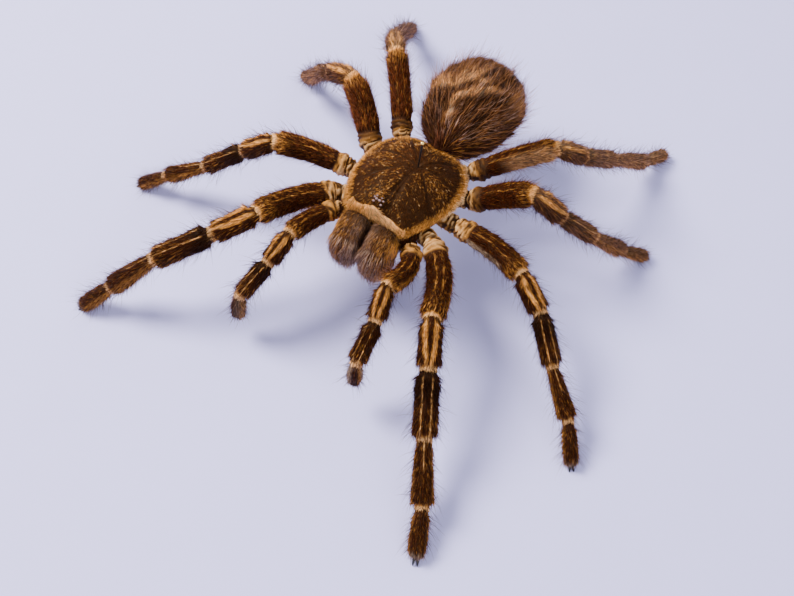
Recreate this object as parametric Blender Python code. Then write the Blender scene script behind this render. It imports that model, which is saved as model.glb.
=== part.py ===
"""A dried tarantula, spread and pinned, at its real size.

The animal faces -Y, its left side is +X, and its eight leg tips stand on z = 0. Each piece is one
closed solid that follows the outside of its fur. Lengths are given in millimetres, times MM.
"""

import math
from typing import NamedTuple

import bmesh
import bpy
from mathutils import Matrix, Vector, noise

MM = 0.001

# The whole animal
MARGIN_HEIGHT = 31.0  # the carapace's rim above the surface that the leg tips stand on
STANCE_CENTRE = (0.8, 2.4)  # from the origin to the carapace's middle, so that the stance is centred

# Carapace and sternum
# From its middle to its rim, every 15 degrees from ahead to behind
RIM_REACH = (17.2, 17.9, 20.2, 18.6, 17.5, 16.9, 16.8, 17.3, 18.2, 18.8, 18.8, 17.9, 16.8)
DOME_HEIGHT = 6.6
DOME_POWER = 2.6  # how flat its top is before it falls to the rim
RIM_DROP = 1.3  # the rim's turned-under edge
RIM_FRINGE = 0.3  # how far the locks of hair on the rim stand out and in
BROW = (-9.0, 5.5, 7.0, 1.3)  # the head's swelling: place along the body, half width, half length, height
EYE_MOUND = (-1.2, -13.4, 2.6, 2.4)  # place across and along the body, radius, height
PIT = (1.6, 4.2, 2.2, 1.6)  # the dimple where the grooves meet: place, radius, depth
PIT_WIDTH = 1.25  # its width over its length
GROOVE_SPACING = 8.0  # how often the grooves come round in a full turn
GROOVE_TURN = -0.4
GROOVE_DEPTH = 0.7
UNDER_RIM = (0.97, 0.72)  # shares of the rim's reach, at the turned-under edge
STERNUM_SIZE = (6.8, 10.4)  # half width and half length
STERNUM_MIDDLE = 1.2
STERNUM_DEPTH = 9.4  # below the rim
STERNUM_BULGE = 0.1  # its middle below that
STERNUM_RINGS = ((1.0, -2.2), (1.0, -7.4), (0.86, -8.8), (0.5, -STERNUM_DEPTH))  # share, height

# Abdomen: sections of (distance behind the carapace's middle, half width, half height, height)
ABDOMEN_SECTIONS = (
    (12.4, 1.6, 1.6, -4.4),
    (17.8, 2.0, 1.9, -3.9),
    (21.0, 6.4, 5.2, -2.9),
    (24.2, 10.2, 7.8, -2.8),
    (30.5, 13.6, 10.4, -2.2),
    (38.5, 16.0, 11.8, -1.4),
    (46.0, 15.4, 11.6, -1.1),
    (52.2, 11.8, 9.0, -1.2),
    (56.2, 6.4, 5.0, -1.8),
)
ABDOMEN_START = 12.0
ABDOMEN_END = (57.6, -2.1)
ABDOMEN_SHIFT = 0.2  # to the animal's left
HOLLOWS = (  # where the dried skin has sunk: place from the carapace's middle, reach, depth
    ((6.5, 29.5, 5.0), 5.5, 2.4),  # the front slope
    ((2.0, 33.0, 8.5), 2.6, 1.5),
    ((6.5, 36.5, 8.0), 2.8, 1.7),
    ((-6.3, 34.0, 8.0), 2.7, 1.7),
    ((-4.0, 28.5, 6.0), 2.6, 1.5),
    ((6.5, 48.0, 8.0), 3.4, 2.6),  # the pit near the end
    ((-1.5, 38.5, 9.5), 2.2, 0.9),
    ((-9.5, 44.0, 5.0), 3.6, 1.6),
    ((14.0, 38.0, -1.0), 4.0, 1.5),
    ((-13.5, 36.0, -3.0), 4.0, 1.3),
    ((0.0, 34.0, -12.0), 6.5, 1.8),
    ((1.0, 46.0, -11.5), 5.0, 1.4),
)
FOLD = ((-1.4, 26.6), (-3.2, 30.8), (-0.6, 34.6), (4.0, 38.0), (9.0, 42.4))  # the ridge across the back
SECOND_FOLD = ((2.0, 41.0), (5.6, 44.2), (3.6, 47.0), (4.0, 52.0))
FOLD_WIDTH = 1.5
FOLD_HEIGHT = 1.0

# Jaws: a path of (forward, up, radius) from the carapace's front edge
JAW_OFFSET = 5.1  # of each jaw from the middle of the pair
JAW_SHIFT = 0.8  # of the pair from the midline, to the animal's left
JAW_NARROWING = 0.95  # width over height
JAW_INNER_FACE = 0.3  # the flat inner side, from the middle of the pair
JAW_PATH = (
    (18.3, -1.2, 4.5),
    (20.0, -1.2, 5.4),
    (22.4, -2.4, 5.7),
    (24.7, -5.0, 5.6),
    (25.9, -8.0, 4.9),
    (26.3, -10.8, 3.6),
    (26.4, -12.6, 1.9),
)
FANG_PATH = (
    (26.4, -13.3, 1.4),
    (25.9, -15.2, 1.4),
    (23.9, -16.9, 1.2),
    (21.2, -17.1, 0.9),
    (18.9, -15.9, 0.5),
    (17.6, -14.3, 0.2),
)

# Limbs
COXA_RINGS = ((0.0, 1.8), (0.8, 2.3))  # distance from the sternum, radius
COXA_WIDE_AT = 0.6  # the share of the way to the hip at which it has its full radius
COXA_RADIUS = 2.8
TROCHANTER_WIDTH = 0.98  # over the thigh's radius
# Place from the hip, share of the trochanter's radius
TROCHANTER_RINGS = ((-3.4, 0.77), (-1.8, 0.74), (0.2, 0.86), (1.9, 1.0), (3.3, 0.88))
THIGH_FULL_AT = 5.0  # from the hip
THIGH_MIDDLE = ((0.42, 0.98), (0.72, 1.0))  # share of the length, share of the radius
# A segment's width over its radius, at its near end, its middle and its far end
SEGMENT_WIDTHS = ((0.97, 0.98, 1.03), (1.0, 0.98, 1.03), (1.0, 0.98, 1.03), (0.84, 1.0, 1.12))
FOOT_WIDTHS = (0.9, 1.0, 0.97)
NECK_AT = 1.3  # a joint's narrow ring from the joint's centre
NECK_NARROWING = 0.78
SHOULDER_AT = 2.0  # the full-width ring next to it, or further where the joint is bent
SHOULDER_CLEARANCE = 0.3
PAD_RADIUS = 2.6  # the foot's last full ring
PAD_FROM_TIP = 1.2
FOOT_FULL_AT = 3.0  # from the tip
PAD_SINK = 0.5  # how much of the foot is flattened where it stands
TIP_RADIUS = 1.3
CLAW_LENGTH = 1.0
CLAW_ROOT = 1.2  # how deep it starts in the foot
CLAW_RADIUS = 0.4
CLAW_SPREAD = 0.7
CLAW_ROOT_SPREAD = 0.56
BRISTLE_LENGTH = 4.2  # beyond the fur
BRISTLE_RADIUS = 0.32
BRISTLE_SWEEP = 50  # degrees from the limb's direction
BRISTLE_ROOT = 0.5  # how deep it starts, over the segment's radius
BRISTLE_TURN = 75  # degrees round the limb from one to the next, within BRISTLE_SPREAD
BRISTLE_SPREAD = 190
BRISTLES = (2, 2, 3, 2, 1)  # on each segment
THIGH_BARE = 0.4  # the share of the first segment, next to the body, that has none

# Spinnerets
SPINNERET_PATH = ((55.2, -8.7, 1.2), (57.8, -9.4, 1.25), (60.6, -9.2, 1.0), (62.8, -8.4, 0.4))
SPINNERET_OFFSET = 2.6
SPINNERET_SPLAY = 0.25  # sideways per length

# Pin
PIN_RADIUS = 0.3
PIN_ENTRY = (1.4, 4.6, 5.6)  # where its axis meets the carapace
PIN_LEAN = 11.0  # degrees from upright, towards the abdomen
PIN_ABOVE = 8.2
PIN_BELOW = 29.8
PIN_POINT_LENGTH = 3.0
PIN_POINT_ROOT = 0.297  # its radius where it starts, inside the shaft
PIN_POINT_RADIUS = 0.03
PIN_POINT_OVERLAP = 0.2
PIN_HEAD_RADIUS = 0.62
PIN_GAP = 0.3
PIN_HOLE = (30.0, -40.0)  # heights past the top and bottom of what it goes through
SOCKET_GAP = 0.08
SOCKET_DEPTH = 2.0

SHAG = 0.22  # how uneven the fur's surface is
CARAPACE_SHAG = 0.13
ABDOMEN_SHAG = 0.31


class Limb(NamedTuple):
    """A pair of limbs: where it leaves the sternum, where its thigh starts, its segments and radii."""

    root: tuple
    hip: tuple
    lengths: tuple
    radii: tuple


class Pose(NamedTuple):
    """One limb's pose: its segments' headings from straight ahead and pitches, in degrees.

    The middle of its thigh bows backwards by bow.
    """

    headings: tuple
    pitches: tuple
    bow: float


LIMBS = {
    "palp": Limb(
        root=(3.9, -11.4, -7.4),
        hip=(13.9, -18.0, -4.0),
        lengths=(18.5, 11.0, 13.5, 9.5),
        radii=(3.4, 3.2, 3.1, 2.7),
    ),
    "leg_1": Limb(
        root=(5.9, -6.3, -6.2),
        hip=(18.5, -12.5, -4.5),
        lengths=(27.0, 15.0, 20.0, 19.0, 14.0),
        radii=(4.1, 3.8, 3.8, 3.3, 3.1),
    ),
    "leg_2": Limb(
        root=(7.6, -0.9, -6.4),
        hip=(21.5, -1.0, -6.0),
        lengths=(24.5, 13.0, 16.5, 16.5, 13.0),
        radii=(3.9, 3.5, 3.2, 2.8, 2.7),
    ),
    "leg_3": Limb(
        root=(7.2, 5.8, -6.2),
        hip=(19.5, 9.5, -4.5),
        lengths=(22.5, 13.0, 15.5, 17.5, 12.0),
        radii=(4.2, 3.6, 3.1, 2.7, 2.5),
    ),
    "leg_4": Limb(
        root=(4.8, 10.7, -5.8),
        hip=(14.0, 19.0, -4.0),
        lengths=(27.0, 12.5, 18.0, 22.5, 12.5),
        radii=(3.75, 3.4, 3.1, 2.7, 2.5),
    ),
}
POSES = {
    "palp_left": Pose((9, 14, 6, 3), (17, -28, -28, -84), 2.4),
    "palp_right": Pose((14, 10, 15, 8), (12, -32, -30, -81), 1.0),
    "leg_1_left": Pose((31, 30, 30, 32, 26), (5, -24, -24, -24), 2.0),
    "leg_2_left": Pose((78, 62, 47, 50, 39), (3, -24, -24, -22), 1.4),
    "leg_3_left": Pose((99, 112, 125, 143, 138), (36, -43, -42, -46), 0.8),
    "leg_4_left": Pose((125, 141, 157, 160, 164), (25, -38, -37, -37), 0.6),
    "leg_1_right": Pose((26, 37, 41, 47, 48), (13, -17, -19, -39), 1.5),
    "leg_2_right": Pose((63, 69, 60, 66, 71), (21, -36, -34, -30), 1.2),
    "leg_3_right": Pose((126, 107, 120, 127, 130), (37, -32, -45, -50), 0.8),
    "leg_4_right": Pose((141, 145, 156, 156, 157), (30, -27, -40, -40), 0.6),
}


class Look(NamedTuple):
    """A plain finish."""

    colour: tuple
    roughness: float
    metallic: float


LOOKS = {
    "carapace_fur": Look((0.16, 0.085, 0.035), 0.8, 0.0),
    "abdomen_fur": Look((0.22, 0.11, 0.055), 0.85, 0.0),
    "leg_fur": Look((0.11, 0.055, 0.028), 0.8, 0.0),
    "jaw_fur": Look((0.13, 0.09, 0.07), 0.8, 0.0),
    "horn": Look((0.02, 0.012, 0.01), 0.3, 0.0),
    "black_enamel": Look((0.01, 0.01, 0.01), 0.35, 0.0),
    "brass": Look((0.8, 0.6, 0.25), 0.3, 1.0),
}


def clear_scene():
    for old in list(bpy.data.objects):
        bpy.data.objects.remove(old, do_unlink=True)


def make_collection(name):
    collection = bpy.data.collections.new(name)
    bpy.context.scene.collection.children.link(collection)
    return collection


def make_finish(name):
    look = LOOKS[name]
    finish = bpy.data.materials.new(name)
    finish.use_nodes = True
    shader = finish.node_tree.nodes["Principled BSDF"]
    shader.inputs["Base Color"].default_value = (*look.colour, 1.0)
    shader.inputs["Roughness"].default_value = look.roughness
    shader.inputs["Metallic"].default_value = look.metallic
    return finish


def placed(point):
    """A point given from the carapace's middle at its rim, in the model's own frame."""
    x, y, z = point
    return Vector((x + STANCE_CENTRE[0], y + STANCE_CENTRE[1], z + MARGIN_HEIGHT)) * MM


def new_object(name, mesh, collection):
    made = bpy.data.objects.new(name, mesh)
    collection.objects.link(made)
    return made


def as_cutter(guide):
    guide.hide_render = True
    guide.display_type = "WIRE"
    return guide


def combine(target, other, operation):
    modifier = target.modifiers.new(operation.title(), "BOOLEAN")
    modifier.operation = operation
    modifier.solver = "EXACT"
    modifier.object = other


def settle(target):
    """Keeps an object's evaluated shape as its mesh, and drops its modifiers."""
    depsgraph = bpy.context.evaluated_depsgraph_get()
    mesh = bpy.data.meshes.new_from_object(target.evaluated_get(depsgraph))
    target.modifiers.clear()
    target.data = mesh


def tube_mesh(name, points, radii, sides_level):
    """A closed tube through the points, with its own radius at each one."""
    curve = bpy.data.curves.new(name, "CURVE")
    curve.dimensions = "3D"
    curve.bevel_depth = MM
    curve.bevel_resolution = sides_level
    curve.use_fill_caps = True
    spline = curve.splines.new("POLY")
    spline.points.add(len(points) - 1)
    for knot, point, radius in zip(spline.points, points, radii):
        knot.co = (*point, 1.0)
        knot.radius = radius
    holder = bpy.data.objects.new(name, curve)
    bpy.context.scene.collection.objects.link(holder)
    depsgraph = bpy.context.evaluated_depsgraph_get()
    mesh = bpy.data.meshes.new_from_object(holder.evaluated_get(depsgraph))
    bpy.data.objects.remove(holder, do_unlink=True)
    bpy.data.curves.remove(curve)
    shape = bmesh.new()
    shape.from_mesh(mesh)
    bmesh.ops.remove_doubles(shape, verts=shape.verts, dist=0.01 * MM)
    bmesh.ops.recalc_face_normals(shape, faces=shape.faces)
    shape.to_mesh(mesh)
    shape.free()
    return mesh


def shag(mesh, amount, grain=1.7):
    """Moves each vertex a little along its normal, as tufts of fur do."""
    moves = [noise.noise(v.co / MM * grain) * 2.0 * amount * MM * v.normal for v in mesh.vertices]
    for vertex, move in zip(mesh.vertices, moves):
        vertex.co += move


def direction(heading, pitch, side):
    turn = math.radians(heading)
    rise = math.radians(pitch)
    return Vector((math.sin(turn) * math.cos(rise) * side, -math.cos(turn) * math.cos(rise), math.sin(rise)))


def foot_pitch(knee_height, length):
    """The pitch at which a foot of this length comes down so that its pad is flattened by PAD_SINK."""
    pitch = 0.6
    for _ in range(8):
        tip = PAD_RADIUS * math.cos(pitch) - PAD_SINK - PAD_FROM_TIP * math.sin(pitch)
        pitch = math.asin((knee_height - tip) / length)
    return -math.degrees(pitch)


def joints_of(limb, pose, side):
    """The limb's joints from its root to its tip, from the carapace's middle."""
    root = Vector((limb.root[0] * side, limb.root[1], limb.root[2]))
    hip = Vector((limb.hip[0] * side, limb.hip[1], limb.hip[2]))
    joints = [root, hip]
    pitches = list(pose.pitches)
    for index, length in enumerate(limb.lengths):
        if index == len(pitches):
            pitches.append(foot_pitch(joints[-1].z + MARGIN_HEIGHT, length))
        joints.append(joints[-1] + direction(pose.headings[index], pitches[index], side) * length)
    return joints


def segment_place(joints, bow, index, distance):
    """A place on a segment's line, this far from its start; the thigh's line bows backwards."""
    start, end = joints[index + 1 : index + 3]
    run = end - start
    place = start + run.normalized() * distance
    if index == 0:
        backwards = Vector((-run.y, run.x, 0.0)).normalized() * math.copysign(1.0, joints[0].x)
        place += backwards * bow * math.sin(math.pi * distance / run.length)
    return place


def limb_rings(limb, bow, joints):
    """Rings of (place, radius) along a limb: a neck on both sides of each joint, full in between."""
    root, hip = joints[:2]
    coxa = hip - root
    rings = [(root + coxa.normalized() * place, radius) for place, radius in COXA_RINGS]
    rings.append((root + coxa * COXA_WIDE_AT, COXA_RADIUS))
    for place, share in TROCHANTER_RINGS:
        before_hip = hip + coxa.normalized() * place
        centre = before_hip if place < 0.0 else segment_place(joints, bow, 0, place)
        rings.append((centre, limb.radii[0] * TROCHANTER_WIDTH * share))
    last = len(limb.lengths) - 1
    for index, (length, radius) in enumerate(zip(limb.lengths, limb.radii)):
        near, middle, far = FOOT_WIDTHS if index == last else SEGMENT_WIDTHS[index]
        spots = [(THIGH_FULL_AT, near)]
        if index > 0:
            spots = [(NECK_AT, NECK_NARROWING), (shoulder_at(joints, index + 1, radius), near)]
        if index == 0:
            spots += [(length * place, share) for place, share in THIGH_MIDDLE]
        else:
            spots.append((length * 0.5, middle))
        if index < last:
            spots.append((length - shoulder_at(joints, index + 2, radius), far))
            spots.append((length - NECK_AT, NECK_NARROWING))
        else:
            spots.append((length - FOOT_FULL_AT, far))
            spots.append((length - PAD_FROM_TIP, PAD_RADIUS / radius))
            spots.append((length, TIP_RADIUS / radius))
        rings += [(segment_place(joints, bow, index, place), radius * share) for place, share in spots]
    return rings


def shoulder_at(joints, index, radius):
    """How far from a joint a segment reaches its full width, so that a bent joint's rings don't cross."""
    bend = (joints[index] - joints[index - 1]).angle(joints[index + 1] - joints[index])
    return max(SHOULDER_AT, radius * math.tan(bend / 2) + SHOULDER_CLEARANCE)


def spike_into(shape, base, tip, radius):
    """A slender three-sided spike, its base inside what it grows from."""
    axis = tip - base
    bmesh.ops.create_cone(
        shape,
        cap_ends=True,
        segments=3,
        radius1=radius * MM,
        radius2=0.0,
        depth=axis.length,
        matrix=Matrix.Translation((base + tip) / 2) @ axis.to_track_quat("Z", "Y").to_matrix().to_4x4(),
    )


def limb_spikes(name, limb, bow, joints):
    """The two claws, and the long bristles on the upper side of each segment."""
    shape = bmesh.new()
    turn = 0
    for index, (length, radius) in enumerate(zip(limb.lengths, limb.radii)):
        start, end = joints[index + 1 : index + 3]
        along = (end - start).normalized()
        across = along.cross(Vector((0, 0, 1))).normalized()
        above = across.cross(along)
        for number in range(BRISTLES[index]):
            share = (number + 0.9) / (BRISTLES[index] + 0.6)
            if index == 0:
                share = THIGH_BARE + (1.0 - THIGH_BARE) * share
            roll = math.radians((turn * BRISTLE_TURN) % BRISTLE_SPREAD - BRISTLE_SPREAD / 2)
            turn += 1
            out = above * math.cos(roll) + across * math.sin(roll)
            base = segment_place(joints, bow, index, length * share) + out * radius * BRISTLE_ROOT
            sweep = math.radians(BRISTLE_SWEEP)
            reach = radius * (1.0 - BRISTLE_ROOT) / math.sin(sweep) + BRISTLE_LENGTH
            tip = base + (along * math.cos(sweep) + out * math.sin(sweep)) * reach
            spike_into(shape, placed(base), placed(tip), BRISTLE_RADIUS)
    for side in (-1, 1):
        base = end - along * CLAW_ROOT + across * side * CLAW_ROOT_SPREAD
        tip = end + along * CLAW_LENGTH + across * side * CLAW_SPREAD
        spike_into(shape, placed(base), placed(tip), CLAW_RADIUS)
    mesh = bpy.data.meshes.new(f"{name}_spikes")
    shape.to_mesh(mesh)
    shape.free()
    return mesh


def flatten_at_floor(mesh):
    """Cuts a foot flat where it stands."""
    shape = bmesh.new()
    shape.from_mesh(mesh)
    whole = list(shape.verts) + list(shape.edges) + list(shape.faces)
    floor = {"plane_co": (0, 0, 0), "plane_no": (0, 0, 1)}
    cut = bmesh.ops.bisect_plane(shape, geom=whole, clear_inner=True, **floor)
    edges = [item for item in cut["geom_cut"] if isinstance(item, bmesh.types.BMEdge)]
    bmesh.ops.holes_fill(shape, edges=edges, sides=0)
    shape.to_mesh(mesh)
    shape.free()


def make_limb(name, limb, pose, side, parts, cutters):
    joints = joints_of(limb, pose, side)
    rings = limb_rings(limb, pose.bow, joints)
    mesh = tube_mesh(name, [placed(place) for place, _ in rings], [radius for _, radius in rings], 2)
    shag(mesh, SHAG)
    made = new_object(name, mesh, parts)
    spikes = new_object(f"{name}_spikes", limb_spikes(name, limb, pose.bow, joints), cutters)
    combine(made, as_cutter(spikes), "UNION")
    settle(made)
    flatten_at_floor(made.data)
    return made


def rim_reach(angle):
    """The carapace's rim from its middle; the angle runs from straight ahead to behind, on either side."""
    last = len(RIM_REACH) - 1
    place = abs(angle) / math.pi * last
    index = min(int(place), last - 1)
    blend = place - index
    before, near, far = RIM_REACH[abs(index - 1)], RIM_REACH[index], RIM_REACH[index + 1]
    after = RIM_REACH[last - abs(last - index - 2)]
    slope_near = (far - before) / 2
    slope_far = (after - near) / 2
    return (
        near * (2 * blend**3 - 3 * blend**2 + 1)
        + slope_near * (blend**3 - 2 * blend**2 + blend)
        + far * (3 * blend**2 - 2 * blend**3)
        + slope_far * (blend**3 - blend**2)
    )


def bump(distance, radius):
    return math.exp(-((distance / radius) ** 2))


def dome_height(x, y, share):
    """The carapace's height above its rim, share being 0 in the middle and 1 at the rim."""
    height = DOME_HEIGHT * (1.0 - share**DOME_POWER)
    brow_y, brow_width, brow_length, brow_height = BROW
    brow = bump(math.hypot(x / brow_width, (y - brow_y) / brow_length), 1.0)
    height += brow_height * brow * (1.0 - share**4)
    mound_x, mound_y, mound_radius, mound_height = EYE_MOUND
    height += mound_height * bump(math.hypot(x - mound_x, y - mound_y), mound_radius)
    pit_x, pit_y, pit_radius, pit_depth = PIT
    height -= pit_depth * bump(math.hypot((x - pit_x) / PIT_WIDTH, y - pit_y), pit_radius)
    angle = abs(math.atan2(x - pit_x, pit_y - y))
    groove = max(0.0, math.cos(angle * GROOVE_SPACING + GROOVE_TURN)) ** 6
    height -= GROOVE_DEPTH * groove * math.sin(math.pi * min(1.0, share))
    return height


def make_prosoma(parts, cutters):
    """Carapace, and below it the column to the sternum, which the coxae stand around."""
    sectors = 40
    levels = (0.13, 0.3, 0.48, 0.66, 0.83, 0.94, 1.0)  # rings of the dome, as shares of the rim's reach
    ring_count = len(levels) + len(UNDER_RIM) + len(STERNUM_RINGS)
    shape = bmesh.new()
    bmesh.ops.create_uvsphere(shape, u_segments=sectors, v_segments=ring_count + 1, radius=1.0)
    for vertex in shape.verts:
        x, y, z = vertex.co
        ring = round(math.acos(max(-1.0, min(1.0, z))) / math.pi * (ring_count + 1))
        angle = math.atan2(x, -y)
        if ring == 0:
            vertex.co = (0.0, 0.0, dome_height(0.0, 0.0, 0.0))
        elif ring <= len(levels):
            share = levels[ring - 1]
            fringe = RIM_FRINGE * math.cos(angle * sectors / 2) if ring == len(levels) else 0.0
            reach = rim_reach(angle) * share + fringe
            place_x, place_y = reach * math.sin(angle), -reach * math.cos(angle)
            vertex.co = (place_x, place_y, dome_height(place_x, place_y, share))
        elif ring <= len(levels) + len(UNDER_RIM):
            reach = rim_reach(angle) * UNDER_RIM[ring - len(levels) - 1]
            vertex.co = (reach * math.sin(angle), -reach * math.cos(angle), -RIM_DROP)
        else:
            below = ring - len(levels) - len(UNDER_RIM) - 1
            share, height = 0.0, -STERNUM_DEPTH - STERNUM_BULGE
            if ring <= ring_count:
                share, height = STERNUM_RINGS[below]
            half_width, half_length = STERNUM_SIZE
            place_y = STERNUM_MIDDLE - half_length * share * math.cos(angle)
            vertex.co = (half_width * share * math.sin(angle), place_y, height)
    for vertex in shape.verts:
        vertex.co = placed(vertex.co)
    bmesh.ops.recalc_face_normals(shape, faces=shape.faces)
    mesh = bpy.data.meshes.new("prosoma")
    shape.to_mesh(mesh)
    shape.free()
    shag(mesh, CARAPACE_SHAG)
    made = new_object("prosoma", mesh, parts)
    top, bottom = (pin_axis(height) for height in PIN_HOLE)
    hole = rod_mesh(top, bottom, PIN_RADIUS + PIN_GAP, PIN_RADIUS + PIN_GAP, 10)
    combine(made, as_cutter(new_object("pin_hole", hole, cutters)), "DIFFERENCE")
    settle(made)
    return made


def pin_axis(height):
    """A point on the pin's axis, this far above the carapace."""
    lean = math.radians(PIN_LEAN)
    return placed(Vector(PIN_ENTRY) + Vector((0.0, math.sin(lean), math.cos(lean))) * height)


def rod_mesh(start, end, start_radius, end_radius, sides):
    """A straight round rod or cone between two places, with radii in millimetres."""
    axis = start - end
    shape = bmesh.new()
    bmesh.ops.create_cone(
        shape,
        cap_ends=True,
        segments=sides,
        radius1=end_radius * MM,
        radius2=start_radius * MM,
        depth=axis.length,
        matrix=Matrix.Translation((start + end) / 2) @ axis.to_track_quat("Z", "Y").to_matrix().to_4x4(),
    )
    mesh = bpy.data.meshes.new("rod")
    shape.to_mesh(mesh)
    shape.free()
    return mesh


def abdomen_section(share):
    """The abdomen's section at this share of its length: place, half width, half height, height."""
    place = share * (len(ABDOMEN_SECTIONS) - 1)
    index = min(int(place), len(ABDOMEN_SECTIONS) - 2)
    near, far = ABDOMEN_SECTIONS[index : index + 2]
    return [a + (b - a) * (place - index) for a, b in zip(near, far)]


def distance_to_path(x, y, path):
    """How far a place is from a path of straight runs, seen from above."""
    place = Vector((x, y))
    nearest = math.inf
    for start, end in zip(path, path[1:]):
        run = Vector(end) - Vector(start)
        share = max(0.0, min(1.0, (place - Vector(start)).dot(run) / run.length_squared))
        nearest = min(nearest, (place - Vector(start) - run * share).length)
    return nearest


def abdomen_sunk(place):
    """How deep the dried skin has sunk here, less the height of the folds that stand up on its back."""
    depth = sum(sunk * bump(math.dist(place, middle), reach) for middle, reach, sunk in HOLLOWS)
    if place[2] > 0.0:
        nearest = min(distance_to_path(place[0], place[1], path) for path in (FOLD, SECOND_FOLD))
        depth -= FOLD_HEIGHT * bump(nearest, FOLD_WIDTH)
    return depth


def make_abdomen(parts):
    sectors, rings = 36, 19
    shape = bmesh.new()
    turned = Matrix.Rotation(math.radians(90), 4, "X")
    bmesh.ops.create_uvsphere(shape, u_segments=sectors, v_segments=rings + 1, radius=1.0, matrix=turned)
    end_y, end_z = ABDOMEN_END
    for vertex in shape.verts:
        x, y, z = vertex.co
        ring = round(math.acos(max(-1.0, min(1.0, -y))) / math.pi * (rings + 1))
        round_x, round_z = Vector((x, z)).normalized() if 0 < ring <= rings else (0.0, 0.0)
        place, width, height, middle = abdomen_section(max(0, min(rings, ring) - 1) / (rings - 1))
        if ring == 0:
            place = ABDOMEN_START
        elif ring > rings:
            place, middle = end_y, end_z
        spot = Vector((ABDOMEN_SHIFT + round_x * width, place, middle + round_z * height))
        inward = Vector((-round_x, 0.0, -round_z))
        vertex.co = placed(spot + inward * abdomen_sunk(spot))
    bmesh.ops.recalc_face_normals(shape, faces=shape.faces)
    mesh = bpy.data.meshes.new("abdomen")
    shape.to_mesh(mesh)
    shape.free()
    shag(mesh, ABDOMEN_SHAG)
    return new_object("abdomen", mesh, parts)


class Sided(NamedTuple):
    """How a tube lies beside the midline: its offset from it, and how it spreads, narrows and shifts."""

    offset: float
    splay: float = 0.0
    narrowing: float = 1.0
    inner_face: float = 0.0
    shift: float = 0.0


def make_sided_tube(name, path, lie, side, sides_level, parts):
    """A tube through (distance along the body, height, radius), on one side of the midline."""
    start = path[0][0]
    points = [Vector((lie.offset + lie.splay * abs(y - start), y, z)) for y, z, _ in path]
    mesh = tube_mesh(name, [p * MM for p in points], [radius for _, _, radius in path], sides_level)
    for vertex in mesh.vertices:
        x, y, z = vertex.co / MM
        centre = lie.offset + lie.splay * abs(y - start)
        across = max(lie.inner_face, centre + (x - centre) * lie.narrowing)
        vertex.co = placed((across * side + lie.shift, y, z))
    if side < 0:
        mesh.flip_normals()
    return new_object(name, mesh, parts)


def make_jaws(parts):
    jaw = Sided(JAW_OFFSET, narrowing=JAW_NARROWING, inner_face=JAW_INNER_FACE, shift=JAW_SHIFT)
    fang = Sided(JAW_OFFSET, shift=JAW_SHIFT)
    for word, side in (("left", 1), ("right", -1)):
        jaw_path = [(-forward, up, radius) for forward, up, radius in JAW_PATH]
        make_sided_tube(f"chelicera_{word}", jaw_path, jaw, side, 4, parts)
        fang_path = [(-forward, up, radius) for forward, up, radius in FANG_PATH]
        make_sided_tube(f"fang_{word}", fang_path, fang, side, 1, parts)


def make_spinnerets(parts):
    lie = Sided(SPINNERET_OFFSET, splay=SPINNERET_SPLAY)
    for word, side in (("left", 1), ("right", -1)):
        make_sided_tube(f"spinneret_{word}", SPINNERET_PATH, lie, side, 1, parts)


def make_pin(parts, cutters):
    top = pin_axis(PIN_ABOVE)
    shoulder = pin_axis(PIN_POINT_LENGTH - PIN_BELOW)
    shaft = new_object("pin", rod_mesh(top, shoulder, PIN_RADIUS, PIN_RADIUS, 10), parts)
    overlap = pin_axis(PIN_POINT_LENGTH - PIN_BELOW + PIN_POINT_OVERLAP)
    point = rod_mesh(overlap, pin_axis(-PIN_BELOW), PIN_POINT_ROOT, PIN_POINT_RADIUS, 10)
    combine(shaft, as_cutter(new_object("pin_point", point, cutters)), "UNION")
    settle(shaft)
    shape = bmesh.new()
    centre = pin_axis(PIN_ABOVE)
    bmesh.ops.create_uvsphere(shape, u_segments=10, v_segments=6, radius=PIN_HEAD_RADIUS * MM)
    for vertex in shape.verts:
        vertex.co += centre
    mesh = bpy.data.meshes.new("pin_head")
    shape.to_mesh(mesh)
    shape.free()
    head = new_object("pin_head", mesh, parts)
    deep = pin_axis(PIN_ABOVE + SOCKET_GAP)
    low = pin_axis(PIN_ABOVE - SOCKET_DEPTH)
    socket = rod_mesh(deep, low, PIN_RADIUS + SOCKET_GAP, PIN_RADIUS + SOCKET_GAP, 10)
    combine(head, as_cutter(new_object("pin_socket", socket, cutters)), "DIFFERENCE")
    settle(head)


def finish_of(name):
    if name.startswith(("leg", "palp", "spinneret")):
        return "leg_fur"
    if name.startswith("chelicera"):
        return "jaw_fur"
    if name in ("prosoma", "abdomen"):
        return "carapace_fur" if name == "prosoma" else "abdomen_fur"
    return {"pin": "black_enamel", "pin_head": "brass"}.get(name, "horn")


def main():
    clear_scene()
    parts = make_collection("tarantula_specimen")
    cutters = make_collection("cutters")
    make_prosoma(parts, cutters)
    make_abdomen(parts)
    make_jaws(parts)
    make_spinnerets(parts)
    make_pin(parts, cutters)
    for name, pose in POSES.items():
        kind, word = name.rsplit("_", 1)
        make_limb(name, LIMBS[kind], pose, 1 if word == "left" else -1, parts, cutters)
    finishes = {name: make_finish(name) for name in LOOKS}
    for made in parts.objects:
        made.data.materials.clear()
        made.data.materials.append(finishes[finish_of(made.name)])
        made.data.shade_smooth()
        made.data.set_sharp_from_angle(angle=math.radians(50))


main()
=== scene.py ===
"""The looks of a dried tarantula, spread and pinned: skin, fur, eyes, horn and pin, dressed over its solids.

The animal faces -Y, its left side is +X, and its leg tips stand on z = 0. Shapes are worked out in
millimetres from the carapace's middle at its rim, the body frame, and placed() puts them in the scene.
"""

import itertools
import math
import zlib
from functools import partial
from typing import NamedTuple

import bpy
import numpy as np
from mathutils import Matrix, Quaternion, Vector


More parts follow.
